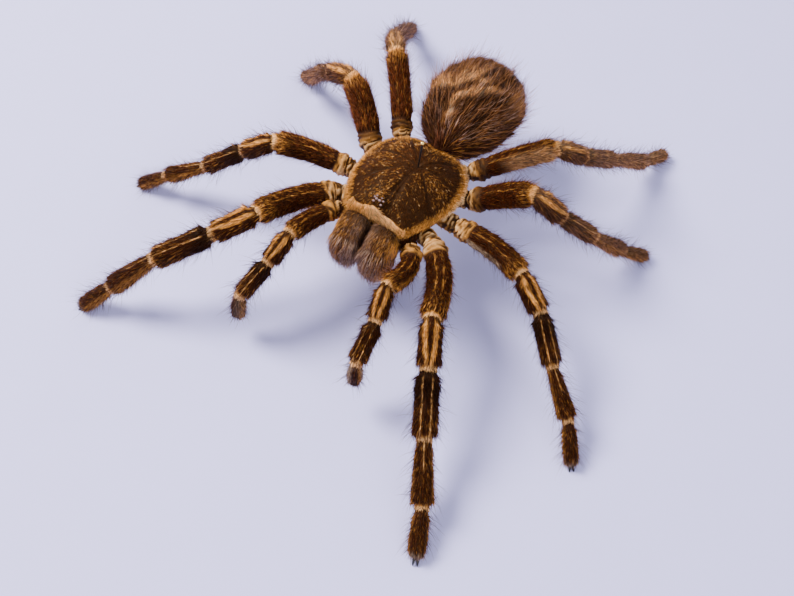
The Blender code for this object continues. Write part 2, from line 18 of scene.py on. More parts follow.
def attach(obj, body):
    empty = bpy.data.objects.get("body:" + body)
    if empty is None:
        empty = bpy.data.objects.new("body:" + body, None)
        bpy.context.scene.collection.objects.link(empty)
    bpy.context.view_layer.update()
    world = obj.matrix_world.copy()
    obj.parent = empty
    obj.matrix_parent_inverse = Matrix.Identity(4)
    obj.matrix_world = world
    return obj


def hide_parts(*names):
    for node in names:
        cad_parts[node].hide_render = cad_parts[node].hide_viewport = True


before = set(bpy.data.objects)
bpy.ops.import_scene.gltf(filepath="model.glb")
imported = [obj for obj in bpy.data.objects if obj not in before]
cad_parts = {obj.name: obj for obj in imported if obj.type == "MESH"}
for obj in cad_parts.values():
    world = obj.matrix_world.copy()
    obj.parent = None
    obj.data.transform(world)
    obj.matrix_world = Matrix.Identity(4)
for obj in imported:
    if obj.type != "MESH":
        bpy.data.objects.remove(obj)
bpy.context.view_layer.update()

bl_info = {
    "name": "Pinned Tarantula",
    "version": (1, 0, 0),
    "blender": (4, 5, 0),
    "location": "3D View > Sidebar > Tarantula",
    "description": "Dresses the solids of a dried tarantula in skin, fur, eyes, horn and a pin",
    "category": "Add Mesh",
}

MM = 0.001

# The whole animal, as in its solids
MARGIN_HEIGHT = 31.0  # the carapace's rim above the floor
STANCE_CENTRE = (0.8, 2.4)  # from the origin to the carapace's middle
FLOOR_CLEARANCE = 0.03  # how close to the floor a hair may come

# Carapace and sternum
RIM_REACH = (17.2, 17.9, 20.2, 18.6, 17.5, 16.9, 16.8, 17.3, 18.2, 18.8, 18.8, 17.9, 16.8)
DOME_HEIGHT = 6.6
DOME_POWER = 2.6
RIM_DROP = 1.3
BROW = (-9.0, 5.5, 7.0, 1.3)  # the head's swelling: place along the body, half width, half length, height
EYE_MOUND = (-1.2, -13.4, 2.6, 2.4)  # place across and along the body, radius, height
PIT = (1.6, 4.2, 2.2, 1.6)
PIT_WIDTH = 1.25
GROOVE_SPACING = 8.0
GROOVE_TURN = -0.4
GROOVE_DEPTH = 0.7
STERNUM_SIZE = (6.8, 10.4)
STERNUM_MIDDLE = 1.2
COLUMN_TOP = -2.2
COLUMN_FOOT = -7.4
STERNUM_DEPTH = 9.4
CARAPACE_FUR_DEPTH = 0.45  # from the fur's outside to the skin
STERNUM_FUR_DEPTH = 0.3

# Abdomen: (distance behind the carapace's middle, half width, half height, height of the middle)
ABDOMEN_SECTIONS = (
    (12.4, 1.6, 1.6, -4.4),
    (17.8, 2.0, 1.9, -3.9),
    (21.0, 6.4, 5.2, -2.9),
    (24.2, 10.2, 7.8, -2.8),
    (30.5, 13.6, 10.4, -2.2),
    (38.5, 16.0, 11.8, -1.4),
    (46.0, 15.4, 11.6, -1.1),
    (52.2, 11.8, 9.0, -1.2),
    (56.2, 6.4, 5.0, -1.8),
    (57.5, 1.5, 1.2, -2.1),
)
ABDOMEN_SHIFT = 0.2
ABDOMEN_FUR_DEPTH = 0.6
ABDOMEN_ROUND_END = 2.5
STALK_RADIUS = 0.9
HOLLOWS = (  # place, reach and depth of each place where the dried skin has sunk
    ((6.5, 29.5, 5.0), 5.5, 2.4),
    ((2.0, 33.0, 8.5), 2.6, 1.5),
    ((6.5, 36.5, 8.0), 2.8, 1.7),
    ((-6.3, 34.0, 8.0), 2.7, 1.7),
    ((-4.0, 28.5, 6.0), 2.6, 1.5),
    ((6.5, 48.0, 8.0), 3.4, 2.6),
    ((-1.5, 38.5, 9.5), 2.2, 0.9),
    ((-9.5, 44.0, 5.0), 3.6, 1.6),
    ((14.0, 38.0, -1.0), 4.0, 1.5),
    ((-13.5, 36.0, -3.0), 4.0, 1.3),
    ((0.0, 34.0, -12.0), 6.5, 1.8),
    ((1.0, 46.0, -11.5), 5.0, 1.4),
)
FOLDS = (
    ((-1.4, 26.6), (-3.2, 30.8), (-0.6, 34.6), (4.0, 38.0), (9.0, 42.4)),
    ((2.0, 41.0), (5.6, 44.2), (3.6, 47.0), (4.0, 52.0)),
)
UNDER_FOLD = ((-1.2, 30.0), (0.9, 32.4), (5.2, 35.8), (10.2, 40.0))  # in the first fold's shadow
LOW_FOLD = ((-13.0, 35.4), (-5.9, 36.2), (-0.9, 42.1), (1.7, 49.4))  # matted hair, hardly raised
FOLD_WIDTH = 1.5
FOLD_HEIGHT = 1.0

# Jaws and fangs: (forward, up, radius)
JAW_OFFSET = 5.1
JAW_SHIFT = 0.8  # of the pair from the midline, to the animal's left
JAW_NARROWING = 0.95
JAW_INNER_FACE = 0.3
JAW_SQUARENESS = 0.78  # 1 is round, less is boxier
JAW_FUR_DEPTH = 0.5
JAW_PATH = (
    (18.3, -1.2, 4.5),
    (20.0, -1.2, 5.4),
    (22.4, -2.4, 5.7),
    (24.7, -5.0, 5.6),
    (25.9, -8.0, 4.9),
    (26.3, -10.8, 3.6),
    (26.4, -12.6, 1.9),
)
FANG_PATH = (
    (26.4, -13.3, 1.4),
    (25.9, -15.2, 1.4),
    (23.9, -16.9, 1.2),
    (21.2, -17.1, 0.9),
    (18.9, -15.9, 0.5),
    (17.6, -14.3, 0.2),
)

# Spinnerets: (behind, up, radius)
SPINNERET_PATH = ((55.2, -8.7, 1.2), (57.8, -9.4, 1.25), (60.6, -9.2, 1.0), (62.8, -8.4, 0.4))
SPINNERET_ROOT = (52.9, -6.6, 1.5)  # where its skin starts, inside the abdomen's
SPINNERET_OFFSET = 2.6
SPINNERET_SPLAY = 0.25
SPINNERET_FUR_DEPTH = 0.25
SPINNERET_HAIRS = 1100

# Pin
PIN_RADIUS = 0.3
PIN_ENTRY = (1.4, 4.6, 5.6)
PIN_LEAN = 11.0
PIN_ABOVE = 8.2
PIN_BELOW = 29.8
PIN_POINT_LENGTH = 3.0  # the thin last stretch, to which the shaft narrows evenly
PIN_HEAD_RADIUS = 0.62
PIN_POINT_SHARE = 0.08  # of the shaft's radius
PIN_HEAD_UNDERSIDE = 0.8  # of its radius, below which the ball is flattened
PIN_HEAD_FLATTENING = 0.6

# Limbs
COXA_RINGS = ((0.0, 1.8), (0.8, 2.3))  # distance from the sternum, radius
COXA_WIDE_AT = 0.6
COXA_RADIUS = 2.8
TROCHANTER_WIDTH = 0.98  # over the thigh's radius
TROCHANTER_RINGS = ((-3.4, 0.77), (-1.8, 0.74), (0.2, 0.86), (1.9, 1.0), (3.3, 0.88))  # place, share
THIGH_FULL_AT = 5.0
THIGH_MIDDLE = ((0.42, 0.98), (0.72, 1.0))
SEGMENT_WIDTHS = ((0.97, 0.98, 1.03), (1.0, 0.98, 1.03), (1.0, 0.98, 1.03), (0.84, 1.0, 1.12))
FOOT_WIDTHS = (0.9, 1.0, 0.97)
NECK_AT = 1.3
NECK_NARROWING = 0.78
SHOULDER_AT = 2.0
SHOULDER_CLEARANCE = 0.3
PAD_RADIUS = 2.6
PAD_FROM_TIP = 1.2
FOOT_FULL_AT = 3.0
PAD_SINK = 0.5
TIP_RADIUS = 1.3
LIMB_FUR_DEPTH = 0.6
FOLDS_FROM, FOLDS_TO = -6.4, 3.9  # the crumpled bare skin at the hip, from the hip
FOLDS_FUR_DEPTH = 0.1
FOLD_SPACING = 1.6
HIP_CREASE = -2.3
BOW_STEPS = 8
STATION_STEP = 0.25  # between the places where a tube's line is worked out
LIMB_SKIN_STEP = 0.35  # between the skin's rings
PALP_HAIR_SHARE = 0.8  # of a leg's, for its length


class Limb(NamedTuple):
    """A pair of limbs: where it leaves the sternum, where its thigh starts, its segments and radii."""

    root: tuple
    hip: tuple
    lengths: tuple
    radii: tuple


class Pose(NamedTuple):
    """One limb's pose: each segment's heading from straight ahead, its pitch, and the thigh's bow."""

    headings: tuple
    pitches: tuple
    bow: float


LIMBS = {
    "palp": Limb((3.9, -11.4, -7.4), (13.9, -18.0, -4.0), (18.5, 11.0, 13.5, 9.5), (3.4, 3.2, 3.1, 2.7)),
    "leg_1": Limb((5.9, -6.3, -6.2), (18.5, -12.5, -4.5), (27, 15, 20, 19, 14), (4.1, 3.8, 3.8, 3.3, 3.1)),
    "leg_2": Limb(
        (7.6, -0.9, -6.4), (21.5, -1.0, -6.0), (24.5, 13, 16.5, 16.5, 13), (3.9, 3.5, 3.2, 2.8, 2.7)
    ),
    "leg_3": Limb((7.2, 5.8, -6.2), (19.5, 9.5, -4.5), (22.5, 13, 15.5, 17.5, 12), (4.2, 3.6, 3.1, 2.7, 2.5)),
    "leg_4": Limb(
        (4.8, 10.7, -5.8), (14.0, 19.0, -4.0), (27, 12.5, 18, 22.5, 12.5), (3.75, 3.4, 3.1, 2.7, 2.5)
    ),
}
SIDES = {"left": 1, "right": -1}
POSES = {
    "palp_left": Pose((9, 14, 6, 3), (17, -28, -28, -84), 2.4),
    "palp_right": Pose((14, 10, 15, 8), (12, -32, -30, -81), 1.0),
    "leg_1_left": Pose((31, 30, 30, 32, 26), (5, -24, -24, -24), 2.0),
    "leg_2_left": Pose((78, 62, 47, 50, 39), (3, -24, -24, -22), 1.4),
    "leg_3_left": Pose((99, 112, 125, 143, 138), (36, -43, -42, -46), 0.8),
    "leg_4_left": Pose((125, 141, 157, 160, 164), (25, -38, -37, -37), 0.6),
    "leg_1_right": Pose((26, 37, 41, 47, 48), (13, -17, -19, -39), 1.5),
    "leg_2_right": Pose((63, 69, 60, 66, 71), (21, -36, -34, -30), 1.2),
    "leg_3_right": Pose((126, 107, 120, 127, 130), (37, -32, -45, -50), 0.8),
    "leg_4_right": Pose((141, 145, 156, 156, 157), (30, -27, -40, -40), 0.6),
}

# Camera, at the photograph's viewing angle
CAMERA_PLACE = (0.1158, -0.1858, 0.3106)
CAMERA_AZIMUTH = 31.8
CAMERA_ELEVATION = 57.45
CAMERA_ROLL = 2.16
CAMERA_LENS = 52.14


def unit(vectors):
    return vectors / np.maximum(np.linalg.norm(vectors, axis=-1, keepdims=True), 1e-9)


def placed(points):
    """Points of the body frame, in the scene's metres, and never below the floor."""
    moved = np.asarray(points, float) + (*STANCE_CENTRE, MARGIN_HEIGHT)
    moved[..., 2] = np.maximum(moved[..., 2], FLOOR_CLEARANCE)
    return moved * MM


def random_for(name):
    """A source of random numbers that is the same for this name each time."""
    return np.random.default_rng(zlib.crc32(name.encode()))


NOISE_PRIMES = (73856093, 19349663, 83492791, 2654435761)  # for a corner's three numbers and the seed
NOISE_MIXES = ((13, 1274126177), (16, 2246822519))  # shift and factor
LOW_BITS = 0xFFFFFFFF


def soft_noise(points, size, seed=0):
    """Smooth noise from -1 to 1 at points in millimetres, its lumps about this size."""
    place = np.asarray(points, float) / size
    corner = np.floor(place).astype(np.int64)
    blend = place - corner
    blend = blend * blend * (3.0 - 2.0 * blend)
    total = np.zeros(place.shape[:-1])
    for offset in itertools.product((0, 1), repeat=3):
        mixed = 0
        for number, prime in zip((*np.moveaxis(corner + offset, -1, 0), seed), NOISE_PRIMES):
            mixed = mixed ^ number * prime
        for shift, factor in NOISE_MIXES:
            mixed = (mixed ^ (mixed >> shift)) * factor & LOW_BITS
        total += np.prod(np.where(offset, blend, 1.0 - blend), axis=-1) * (mixed / 2.0**31 - 1.0)
    return total


def band(distance, half_width, edge):
    """1 within half_width, falling smoothly to 0 across an edge this wide."""
    return rise(half_width + edge / 2 - np.abs(distance), 0.0, edge)


def rise(value, start, end):
    """0 up to start, rising smoothly to 1 at end."""
    share = np.clip((value - start) / (end - start), 0.0, 1.0)
    return share * share * (3.0 - 2.0 * share)


def bump(distance, radius):
    return np.exp(-((distance / radius) ** 2))


def near(point, middle, radius):
    """1 at a place, falling to 0 around it."""
    return bump(np.linalg.norm(point - np.array(middle), axis=-1), radius)


def over(x, y, place, radius):
    """1 straight above or below a place, falling to 0 around it."""
    return bump(np.hypot(x - place[0], y - place[1]), radius)


def between(values, places, at):
    """Values given at some places, read off at others, each column for itself."""
    return np.stack([np.interp(at, places, column) for column in values.T], -1)


def on_rod(distance, roll, radius=3.0):
    """Where a place would lie on a straight round rod, for noise that has no seam."""
    turn = np.radians(roll)
    return np.stack([distance, radius * np.cos(turn), radius * np.sin(turn)], -1)


def directions(x, y, z):
    """Directions from their parts, each an array or one number for all."""
    return unit(np.stack(np.broadcast_arrays(x, y, z), -1))


def around(random, count):
    """Rolls spread evenly all the way round."""
    return random.uniform(-180.0, 180.0, count)


def shaded(colour, level):
    return tuple(part * level for part in colour)


# Marks: how much of each colour a place has
GOLD, CREAM, BLACK, GREY = range(4)


def marks_of(count, **amounts):
    """Marks for this many places: gold, cream, black and grey, none of each unless an amount is given."""
    row = [amounts.get(colour, 0.0) for colour in ("gold", "cream", "black", "grey")]
    return np.tile(row, (count, 1))


def at_least(marks, amount):
    """Raises marks in place, where they are lower than this."""
    np.maximum(marks, amount, out=marks)


def flecks_of(random, count):
    """A random number for each hair, which picks its colour, or a half all over a skin."""
    return np.full(count, 0.5) if random is None else random.random(count)


class Tube:
    """A soft tube along a line of knots, its section an oval that turns with the line.

    Each station has a centre, the directions along, above and towards its front, and two radii. A place
    on it is a distance from its start, in millimetres, and a roll in degrees, 0 above and + to the front.
    """

    def __init__(self, knots, fronts, rings, soften=1.0, squareness=1.0, round_end=0.8):
        knots = np.array(knots, float)
        knots_at = lengths_along(knots)
        self.length = knots_at[-1]
        self.stations = np.arange(0.0, self.length + STATION_STEP, STATION_STEP).clip(max=self.length)
        run = np.clip(np.searchsorted(knots_at, self.stations, side="right") - 1, 0, len(knots) - 2)
        self.centre = smoothed(between(knots, knots_at, self.stations), soften)
        front = smoothed(np.array(fronts, float)[run], soften * 2)
        self.along = unit(np.gradient(self.centre, axis=0))
        self.front = unit(front - (front * self.along).sum(1, keepdims=True) * self.along)
        self.above = np.cross(self.front, self.along)
        self.above *= np.where(self.above[:, 2:] < 0, -1.0, 1.0)
        rings = np.array(rings, float)
        radii = smoothed(between(rings[:, 1:], rings[:, 0], self.stations), 0.3)
        from_end = np.minimum(self.stations, self.length - self.stations) / round_end
        self.radii = radii * np.sqrt(1.0 - (1.0 - from_end.clip(0.0, 1.0)) ** 2)[:, None]
        self.squareness = squareness

    def on_line(self, values, distance):
        return between(values, self.stations, np.clip(distance, 0.0, self.length))

    def surface(self, distance, roll):
        turn = np.radians(roll)
        up, side = np.cos(turn), np.sin(turn)
        if self.squareness != 1.0:
            up = np.sign(up) * np.abs(up) ** self.squareness
            side = np.sign(side) * np.abs(side) ** self.squareness
        radii = self.on_line(self.radii, distance)
        out = self.on_line(self.front, distance) * (side * radii[..., 0])[..., None]
        out += self.on_line(self.above, distance) * (up * radii[..., 1])[..., None]
        return self.on_line(self.centre, distance) + self.shaped(out, distance, roll)

    def shaped(self, out, distance, roll):
        """The way from the line to the surface; a kind of tube with its own relief changes it here."""
        return out

    def middle(self, distance, roll):
        return self.on_line(self.centre, distance)

    def scatter(self, random, count, weight=None):
        """Places spread evenly over the surface, or as a weight for each distance says."""
        spread = self.radii.sum(1) * (1.0 if weight is None else weight(self.stations))
        total = np.cumsum(spread)
        distance = np.interp(random.random(count) * total[-1], total, self.stations)
        return distance, around(random, count)


def smoothed(values, reach):
    """Values at the stations, blurred over this many millimetres, with straight ends kept in place."""
    half = min(int(3 * reach / STATION_STEP), len(values) - 1)
    weights = np.exp(-0.5 * (np.arange(-half, half + 1) * STATION_STEP / reach) ** 2)
    weights /= weights.sum()
    padded = np.pad(values, ((half, half), (0, 0)), mode="reflect", reflect_type="odd")
    return np.stack([np.convolve(column, weights, "valid") for column in padded.T], 1)


def lengths_along(knots):
    """The distance along a line of knots at each knot."""
    steps = np.linalg.norm(np.diff(np.array(knots, float), axis=0), axis=1)
    return np.concatenate(([0.0], np.cumsum(steps)))


class LimbTube(Tube):
    """A leg or palp. Its zones run from -2 at its root: coxa, folds at the hip from -1, thigh from 0, on."""

    def __init__(self, name):
        self.kind, word = name.rsplit("_", 1)
        self.side = SIDES[word]
        self.left = word == "left"
        self.rear = self.kind in ("leg_3", "leg_4")
        limb, pose = LIMBS[self.kind], POSES[name]
        joints, fronts = limb_joints(limb, pose, self.side)
        run = joints[2] - joints[1]
        backwards = unit(np.array((-run[1], run[0], 0.0))) * self.side
        shares = np.arange(BOW_STEPS + 1) / BOW_STEPS
        thigh = [joints[1] + run * s + backwards * pose.bow * math.sin(math.pi * s) for s in shares]
        knots = [joints[0], *thigh, *joints[3:]]
        line = lengths_along(knots)
        joint_at = [0.0, line[1], *line[1 + BOW_STEPS :]]
        straight = lengths_along(joints)
        rings = [
            (np.interp(place, straight, joint_at), radius - depth, radius - depth)
            for place, radius, depth in limb_rings(limb, joints)
        ]
        super().__init__(knots, [fronts[0]] + [fronts[1]] * BOW_STEPS + fronts[2:], rings)
        self.hip_at = joint_at[1]
        self.zone_at = [0.0, self.hip_at + FOLDS_FROM, self.hip_at + FOLDS_TO, *joint_at[2:]]
        self.zones = np.arange(-2.0, len(limb.lengths) + 1.0)
        self.last = self.zones[-1] - 1
        self.lumps = zlib.crc32(name.encode()) % 97

    def zone(self, distance):
        return np.interp(distance, self.zone_at, self.zones)

    def part(self, distance):
        """The zone's number: -2 for the coxa, -1 for the folds, 0 for the thigh, and on to the last."""
        return np.floor(np.minimum(self.zone(distance), self.zones[-1] - 0.001))

    def ringed(self, distance):
        """1 at the far end of each segment but the last, where the hair is short and dense."""
        gap = np.array(self.zone_at[3:-1]) - np.asarray(distance)[..., None]
        return (np.where(gap > 0.0, gap, 99.0).min(-1) < 1.4) * 1.0

    def crumpled(self, distance):
        """1 where the skin is crumpled at the hip."""
        middle = (FOLDS_FROM + FOLDS_TO) / 2
        return band(distance - self.hip_at - middle, FOLDS_TO - middle, 0.8)

    def fold_wave(self, distance, roll):
        """The crumpled folds: 1 on a crest and -1 in a crease."""
        spot = on_rod(distance * 0.5, roll, 2.4)
        wobble = soft_noise(spot, 1.5, self.lumps + 1)
        ripple = np.sin(2 * math.pi * ((distance - self.hip_at) / FOLD_SPACING + 0.9 * wobble))
        creases = soft_noise(spot * (3.6, 0.8, 0.8), 1.0, self.lumps + 3)
        return np.clip(0.45 * ripple + 1.5 * creases, -1.0, 1.0)

    def shaped(self, out, distance, roll):
        spot = on_rod(distance, roll)
        lift = 0.12 * soft_noise(spot, 2.2, self.lumps)
        crease = band(distance - self.hip_at - HIP_CREASE, 0.3, 1.2)
        lift += self.crumpled(distance) * (0.3 * self.fold_wave(distance, roll) + 0.1 - 0.8 * crease)
        pads = rise(self.zone(distance), self.zones[-1] - 0.14, self.zones[-1] - 0.02)
        lift += pads * (0.16 * np.cos(np.radians(roll) * 5 + 0.6) + 0.1 * soft_noise(spot, 0.7, 5))
        return out + unit(out) * lift[..., None]


def direction(heading, pitch, side):
    """A segment's direction, its heading counted from straight ahead towards its own side."""
    turn = math.radians(heading)
    climb = math.radians(pitch)
    flat = math.cos(climb)
    return np.array((math.sin(turn) * flat * side, -math.cos(turn) * flat, math.sin(climb)))


def foot_pitch(knee_height, length):
    """The pitch at which a foot of this length comes down so that its pad is flattened by PAD_SINK."""
    pitch = 0.6
    for _ in range(8):
        tip = PAD_RADIUS * math.cos(pitch) - PAD_SINK - PAD_FROM_TIP * math.sin(pitch)
        pitch = math.asin((knee_height - tip) / length)
    return -math.degrees(pitch)


def limb_joints(limb, pose, side):
    """The limb's joints from root to tip, and each run's direction towards the limb's front side."""
    joints = [np.array((x * side, y, z)) for x, y, z in (limb.root, limb.hip)]
    coxa = joints[1] - joints[0]
    fronts = [unit(np.array((coxa[1] * side, -coxa[0] * side, 0.0)))]
    pitches = list(pose.pitches)
    for index, length in enumerate(limb.lengths):
        if index == len(pitches):
            pitches.append(foot_pitch(joints[-1][2] + MARGIN_HEIGHT, length))
        heading = math.radians(pose.headings[index])
        fronts.append(np.array((-math.cos(heading) * side, -math.sin(heading), 0.0)))
        joints.append(joints[-1] + direction(pose.headings[index], pitches[index], side) * length)
    return joints, fronts


def limb_rings(limb, joints):
    """Rings of (distance along the straight runs, radius of the fur's outside, the fur's depth)."""
    reach = np.linalg.norm(joints[1] - joints[0])
    rings = [*COXA_RINGS, (reach * COXA_WIDE_AT, COXA_RADIUS)]
    rings += [(reach + place, limb.radii[0] * TROCHANTER_WIDTH * share) for place, share in TROCHANTER_RINGS]
    last = len(limb.lengths) - 1
    start = reach
    for index, (length, radius) in enumerate(zip(limb.lengths, limb.radii)):
        near_width, middle, far = FOOT_WIDTHS if index == last else SEGMENT_WIDTHS[index]
        spots = [(THIGH_FULL_AT, near_width)]
        if index > 0:
            spots = [(NECK_AT, NECK_NARROWING), (shoulder_at(joints, index + 1, radius), near_width)]
        middles = THIGH_MIDDLE if index == 0 else ((0.5, middle),)
        spots += [(length * place, share) for place, share in middles]
        if index < last:
            spots.append((length - shoulder_at(joints, index + 2, radius), far))
            spots.append((length - NECK_AT, NECK_NARROWING))
        else:
            spots += [(length - FOOT_FULL_AT, far), (length - PAD_FROM_TIP, PAD_RADIUS / radius)]
            spots.append((length, TIP_RADIUS / radius))
        rings += [(start + place, radius * share) for place, share in spots]
        start += length
    dressed = []
    for place, radius in rings:
        bare = FOLDS_FROM <= place - reach <= FOLDS_TO
        dressed.append((place, radius, FOLDS_FUR_DEPTH if bare else LIMB_FUR_DEPTH))
    return dressed


def shoulder_at(joints, index, radius):
    """How far from a joint a segment has its full radius, so that its sides don't cross on the inner bend."""
    before, after = unit(joints[index] - joints[index - 1]), unit(joints[index + 1] - joints[index])
    bend = math.acos(max(-1.0, min(1.0, float(before @ after))))
    return max(SHOULDER_AT, radius * math.tan(bend / 2) + SHOULDER_CLEARANCE)


class JawTube(Tube):
    """A jaw, or a fang below it: a tube beside the midline, flat where it meets its twin."""

    def __init__(self, path, side, fur_depth, inner_face=-99.0, squareness=1.0, narrowing=1.0):
        self.inner_face = inner_face
        self.side = side
        self.fur_depth = fur_depth
        knots = [(JAW_SHIFT + JAW_OFFSET * side, -forward, up) for forward, up, _ in path]
        radii = [radius - fur_depth for _, _, radius in path]
        rings = [(place, radius * narrowing, radius) for place, radius in zip(lengths_along(knots), radii)]
        fronts = [(side, 0.0, 0.0)] * (len(knots) - 1)
        round_end = 0.4 if squareness == 1.0 else 1.5
        super().__init__(knots, fronts, rings, soften=0.6, squareness=squareness, round_end=round_end)
        self.above = np.cross(self.front, self.along) * side

    def surface(self, distance, roll):
        point = super().surface(distance, roll)
        across = (point[..., 0] - JAW_SHIFT) * self.side
        across = np.maximum(across, self.inner_face + self.fur_depth * 0.5)
        point[..., 0] = JAW_SHIFT + across * self.side
        return point


class SpinneretTube(Tube):
    """A finger-like spinneret behind the abdomen."""

    def __init__(self, side):
        sections = (SPINNERET_ROOT, *SPINNERET_PATH)
        start = SPINNERET_PATH[0][0]
        knots = [((SPINNERET_OFFSET + SPINNERET_SPLAY * (y - start)) * side, y, z) for y, z, _ in sections]
        radii = [radius - SPINNERET_FUR_DEPTH for _, _, radius in sections]
        rings = list(zip(lengths_along(knots), radii, radii))
        super().__init__(knots, [(side, 0.0, 0.0)] * (len(knots) - 1), rings, soften=0.6, round_end=0.6)


class AbdomenTube(Tube):
    """The abdomen, dried and sunken between its folds."""

    def __init__(self):
        knots = [(ABDOMEN_SHIFT, y, z) for y, _, _, z in ABDOMEN_SECTIONS]
        rings = [
            (place, max(STALK_RADIUS, w - ABDOMEN_FUR_DEPTH), max(STALK_RADIUS, h - ABDOMEN_FUR_DEPTH))
            for place, (_, w, h, _) in zip(lengths_along(knots), ABDOMEN_SECTIONS)
        ]
        fronts = [(1.0, 0.0, 0.0)] * (len(knots) - 1)
        super().__init__(knots, fronts, rings, soften=1.2, round_end=ABDOMEN_ROUND_END)
        to_end = np.clip(self.length - self.stations, 0.0, ABDOMEN_ROUND_END) / ABDOMEN_ROUND_END
        self.radii = smoothed(self.radii, 0.8) * np.sqrt(to_end)[:, None]

    def surface(self, distance, roll):
        centre = self.on_line(self.centre, distance)
        point = super().surface(distance, roll)
        return point - unit(point - centre) * self.sunk(point)[..., None]

    def sunk(self, point):
        """How deep the dried skin has sunk, less the height of the folds and wrinkles."""
        depth = np.zeros(point.shape[:-1])
        for middle, reach, sunk in HOLLOWS:
            depth += sunk * near(point, middle, reach)
        depth -= FOLD_HEIGHT * self.near_paths(point, FOLDS, FOLD_WIDTH)
        depth -= 0.5 * self.near_paths(point, (LOW_FOLD,), 1.1)
        wrinkle = np.abs(soft_noise(point * (1.0, 0.55, 1.0), 2.4, 3))
        fine = np.abs(soft_noise(point, 1.1, 4))
        return depth + 0.7 * (0.35 - wrinkle) + 0.25 * (0.3 - fine)

    def near_paths(self, point, paths, width):
        """1 on the paths over the back, 0 away from them."""
        nearest = np.full(point.shape[:-1], np.inf)
        for path in paths:
            for start, end in zip(path, path[1:]):
                start, end = np.array(start), np.array(end)
                offset = point[..., :2] - start
                run = end - start
                share = np.clip((offset * run).sum(-1) / (run @ run), 0.0, 1.0)
                nearest = np.minimum(nearest, np.linalg.norm(offset - run * share[..., None], axis=-1))
        return bump(nearest, width) * rise(point[..., 2], 0.0, 3.0)


class Prosoma:
    """Carapace and what is below it. A place is a level and a roll, 0 ahead and 180 behind.

    Levels run over the dome from 0 to 1, down the rim to 2, in below it to 3, down the column to 4 and
    over the sternum to 5.
    """

    length = 5.0

    def surface(self, level, roll):
        turn = np.radians(roll)
        share = np.clip(level, 0.0, 1.0)
        reach = rim_reach(roll) * share
        under = np.clip(level - 2.0, 0.0, 1.0)
        reach = reach * (1.0 - 0.28 * under) - CARAPACE_FUR_DEPTH * rise(level, 0.6, 1.0)
        reach = np.maximum(reach, 0.0)
        x, y = reach * np.sin(turn), -reach * np.cos(turn)
        drop = np.clip(level - 1.0, 0.0, 1.0)
        z = carapace_height(x, y, share) - CARAPACE_FUR_DEPTH * (1.0 - drop) - RIM_DROP * drop
        column = rise(level, 3.0, 3.2)
        close = np.sqrt(np.clip(5.0 - level, 0.0, 1.0))
        half_width, half_length = STERNUM_SIZE
        x = x * (1.0 - column) + column * (half_width - STERNUM_FUR_DEPTH) * close * np.sin(turn)
        back = STERNUM_MIDDLE - (half_length - STERNUM_FUR_DEPTH) * close * np.cos(turn)
        y = y * (1.0 - column) + column * back
        foot = (-RIM_DROP, COLUMN_TOP, COLUMN_FOOT, STERNUM_FUR_DEPTH - STERNUM_DEPTH)
        z = np.where(level > 3.0, np.interp(level, (3.0, 3.2, 4.0, 5.0), foot), z)
        return np.stack([x, y, z], -1)

    def middle(self, level, roll):
        """A place inside it, which its outward side is turned away from."""
        turn = np.radians(roll)
        inner = rim_reach(roll) * 0.3
        height = np.where(level < 1.5, -6.0, np.where(level < 3.1, 2.0, -5.0))
        inner = np.where(level < 3.1, inner, 0.0)
        return np.stack([inner * np.sin(turn), -inner * np.cos(turn), height], -1)


def rim_reach(roll):
    """The carapace's rim from its middle; the roll runs from straight ahead to behind, on either side."""
    reaches = np.array(RIM_REACH)
    knots = len(reaches) - 1
    place = np.abs((np.asarray(roll, float) + 180.0) % 360.0 - 180.0) / 180.0 * knots
    index = np.minimum(place.astype(int), knots - 1)
    blend = place - index
    before, start, end = reaches[np.abs(index - 1)], reaches[index], reaches[index + 1]
    after = reaches[knots - np.abs(knots - (index + 2))]
    start_slope, end_slope = (end - before) / 2, (after - start) / 2
    return (
        start * (2 * blend**3 - 3 * blend**2 + 1)
        + start_slope * (blend**3 - 2 * blend**2 + blend)
        + end * (3 * blend**2 - 2 * blend**3)
        + end_slope * (blend**3 - blend**2)
    )


def carapace_height(x, y, share):
    """The fur's outside above the rim, share being 0 in the middle and 1 at the rim."""
    height = DOME_HEIGHT * (1.0 - share**DOME_POWER)
    brow_y, brow_width, brow_length, brow_height = BROW
    brow = bump(np.hypot(x / brow_width, (y - brow_y) / brow_length), 1.0)
    height = height + brow_height * brow * (1.0 - share**4)
    *mound, mound_radius, mound_height = EYE_MOUND
    height += mound_height * over(x, y, mound, mound_radius)
    pit_x, pit_y, pit_radius, pit_depth = PIT
    height -= pit_depth * bump(np.hypot((x - pit_x) / PIT_WIDTH, y - pit_y), pit_radius)
    height -= GROOVE_DEPTH * groove(x, y, share)
    spot = np.stack([x, y, height * 0.0], -1)
    return height + 0.15 * soft_noise(spot, 1.6, 8) * (1.0 - share**6)


def groove(x, y, share):
    """1 in the middle of a groove that runs out from the pit."""
    angle = np.abs(np.arctan2(x - PIT[0], PIT[1] - y))
    lines = np.maximum(0.0, np.cos(angle * GROOVE_SPACING + GROOVE_TURN)) ** 6
    return lines * np.sin(math.pi * np.minimum(1.0, share))


# Meshes
def deselect():
    if bpy.context.object and bpy.context.object.mode != "OBJECT":
        bpy.ops.object.mode_set(mode="OBJECT")
    bpy.ops.object.select_all(action="DESELECT")


def named(name):
    """The object just made, under this name."""
    made = bpy.context.object
    made.name = made.data.name = name
    return made


def add_marks(mesh, marks, strands):
    """Keeps what the materials read: four marks, and each strand's tone and nearness to its tip."""
    for name, values in (("marks", marks), ("strand", strands)):
        layer = mesh.attributes.new(name, "FLOAT_COLOR", "POINT")
        layer.data.foreach_set("color", np.ascontiguousarray(values, np.float32).ravel())


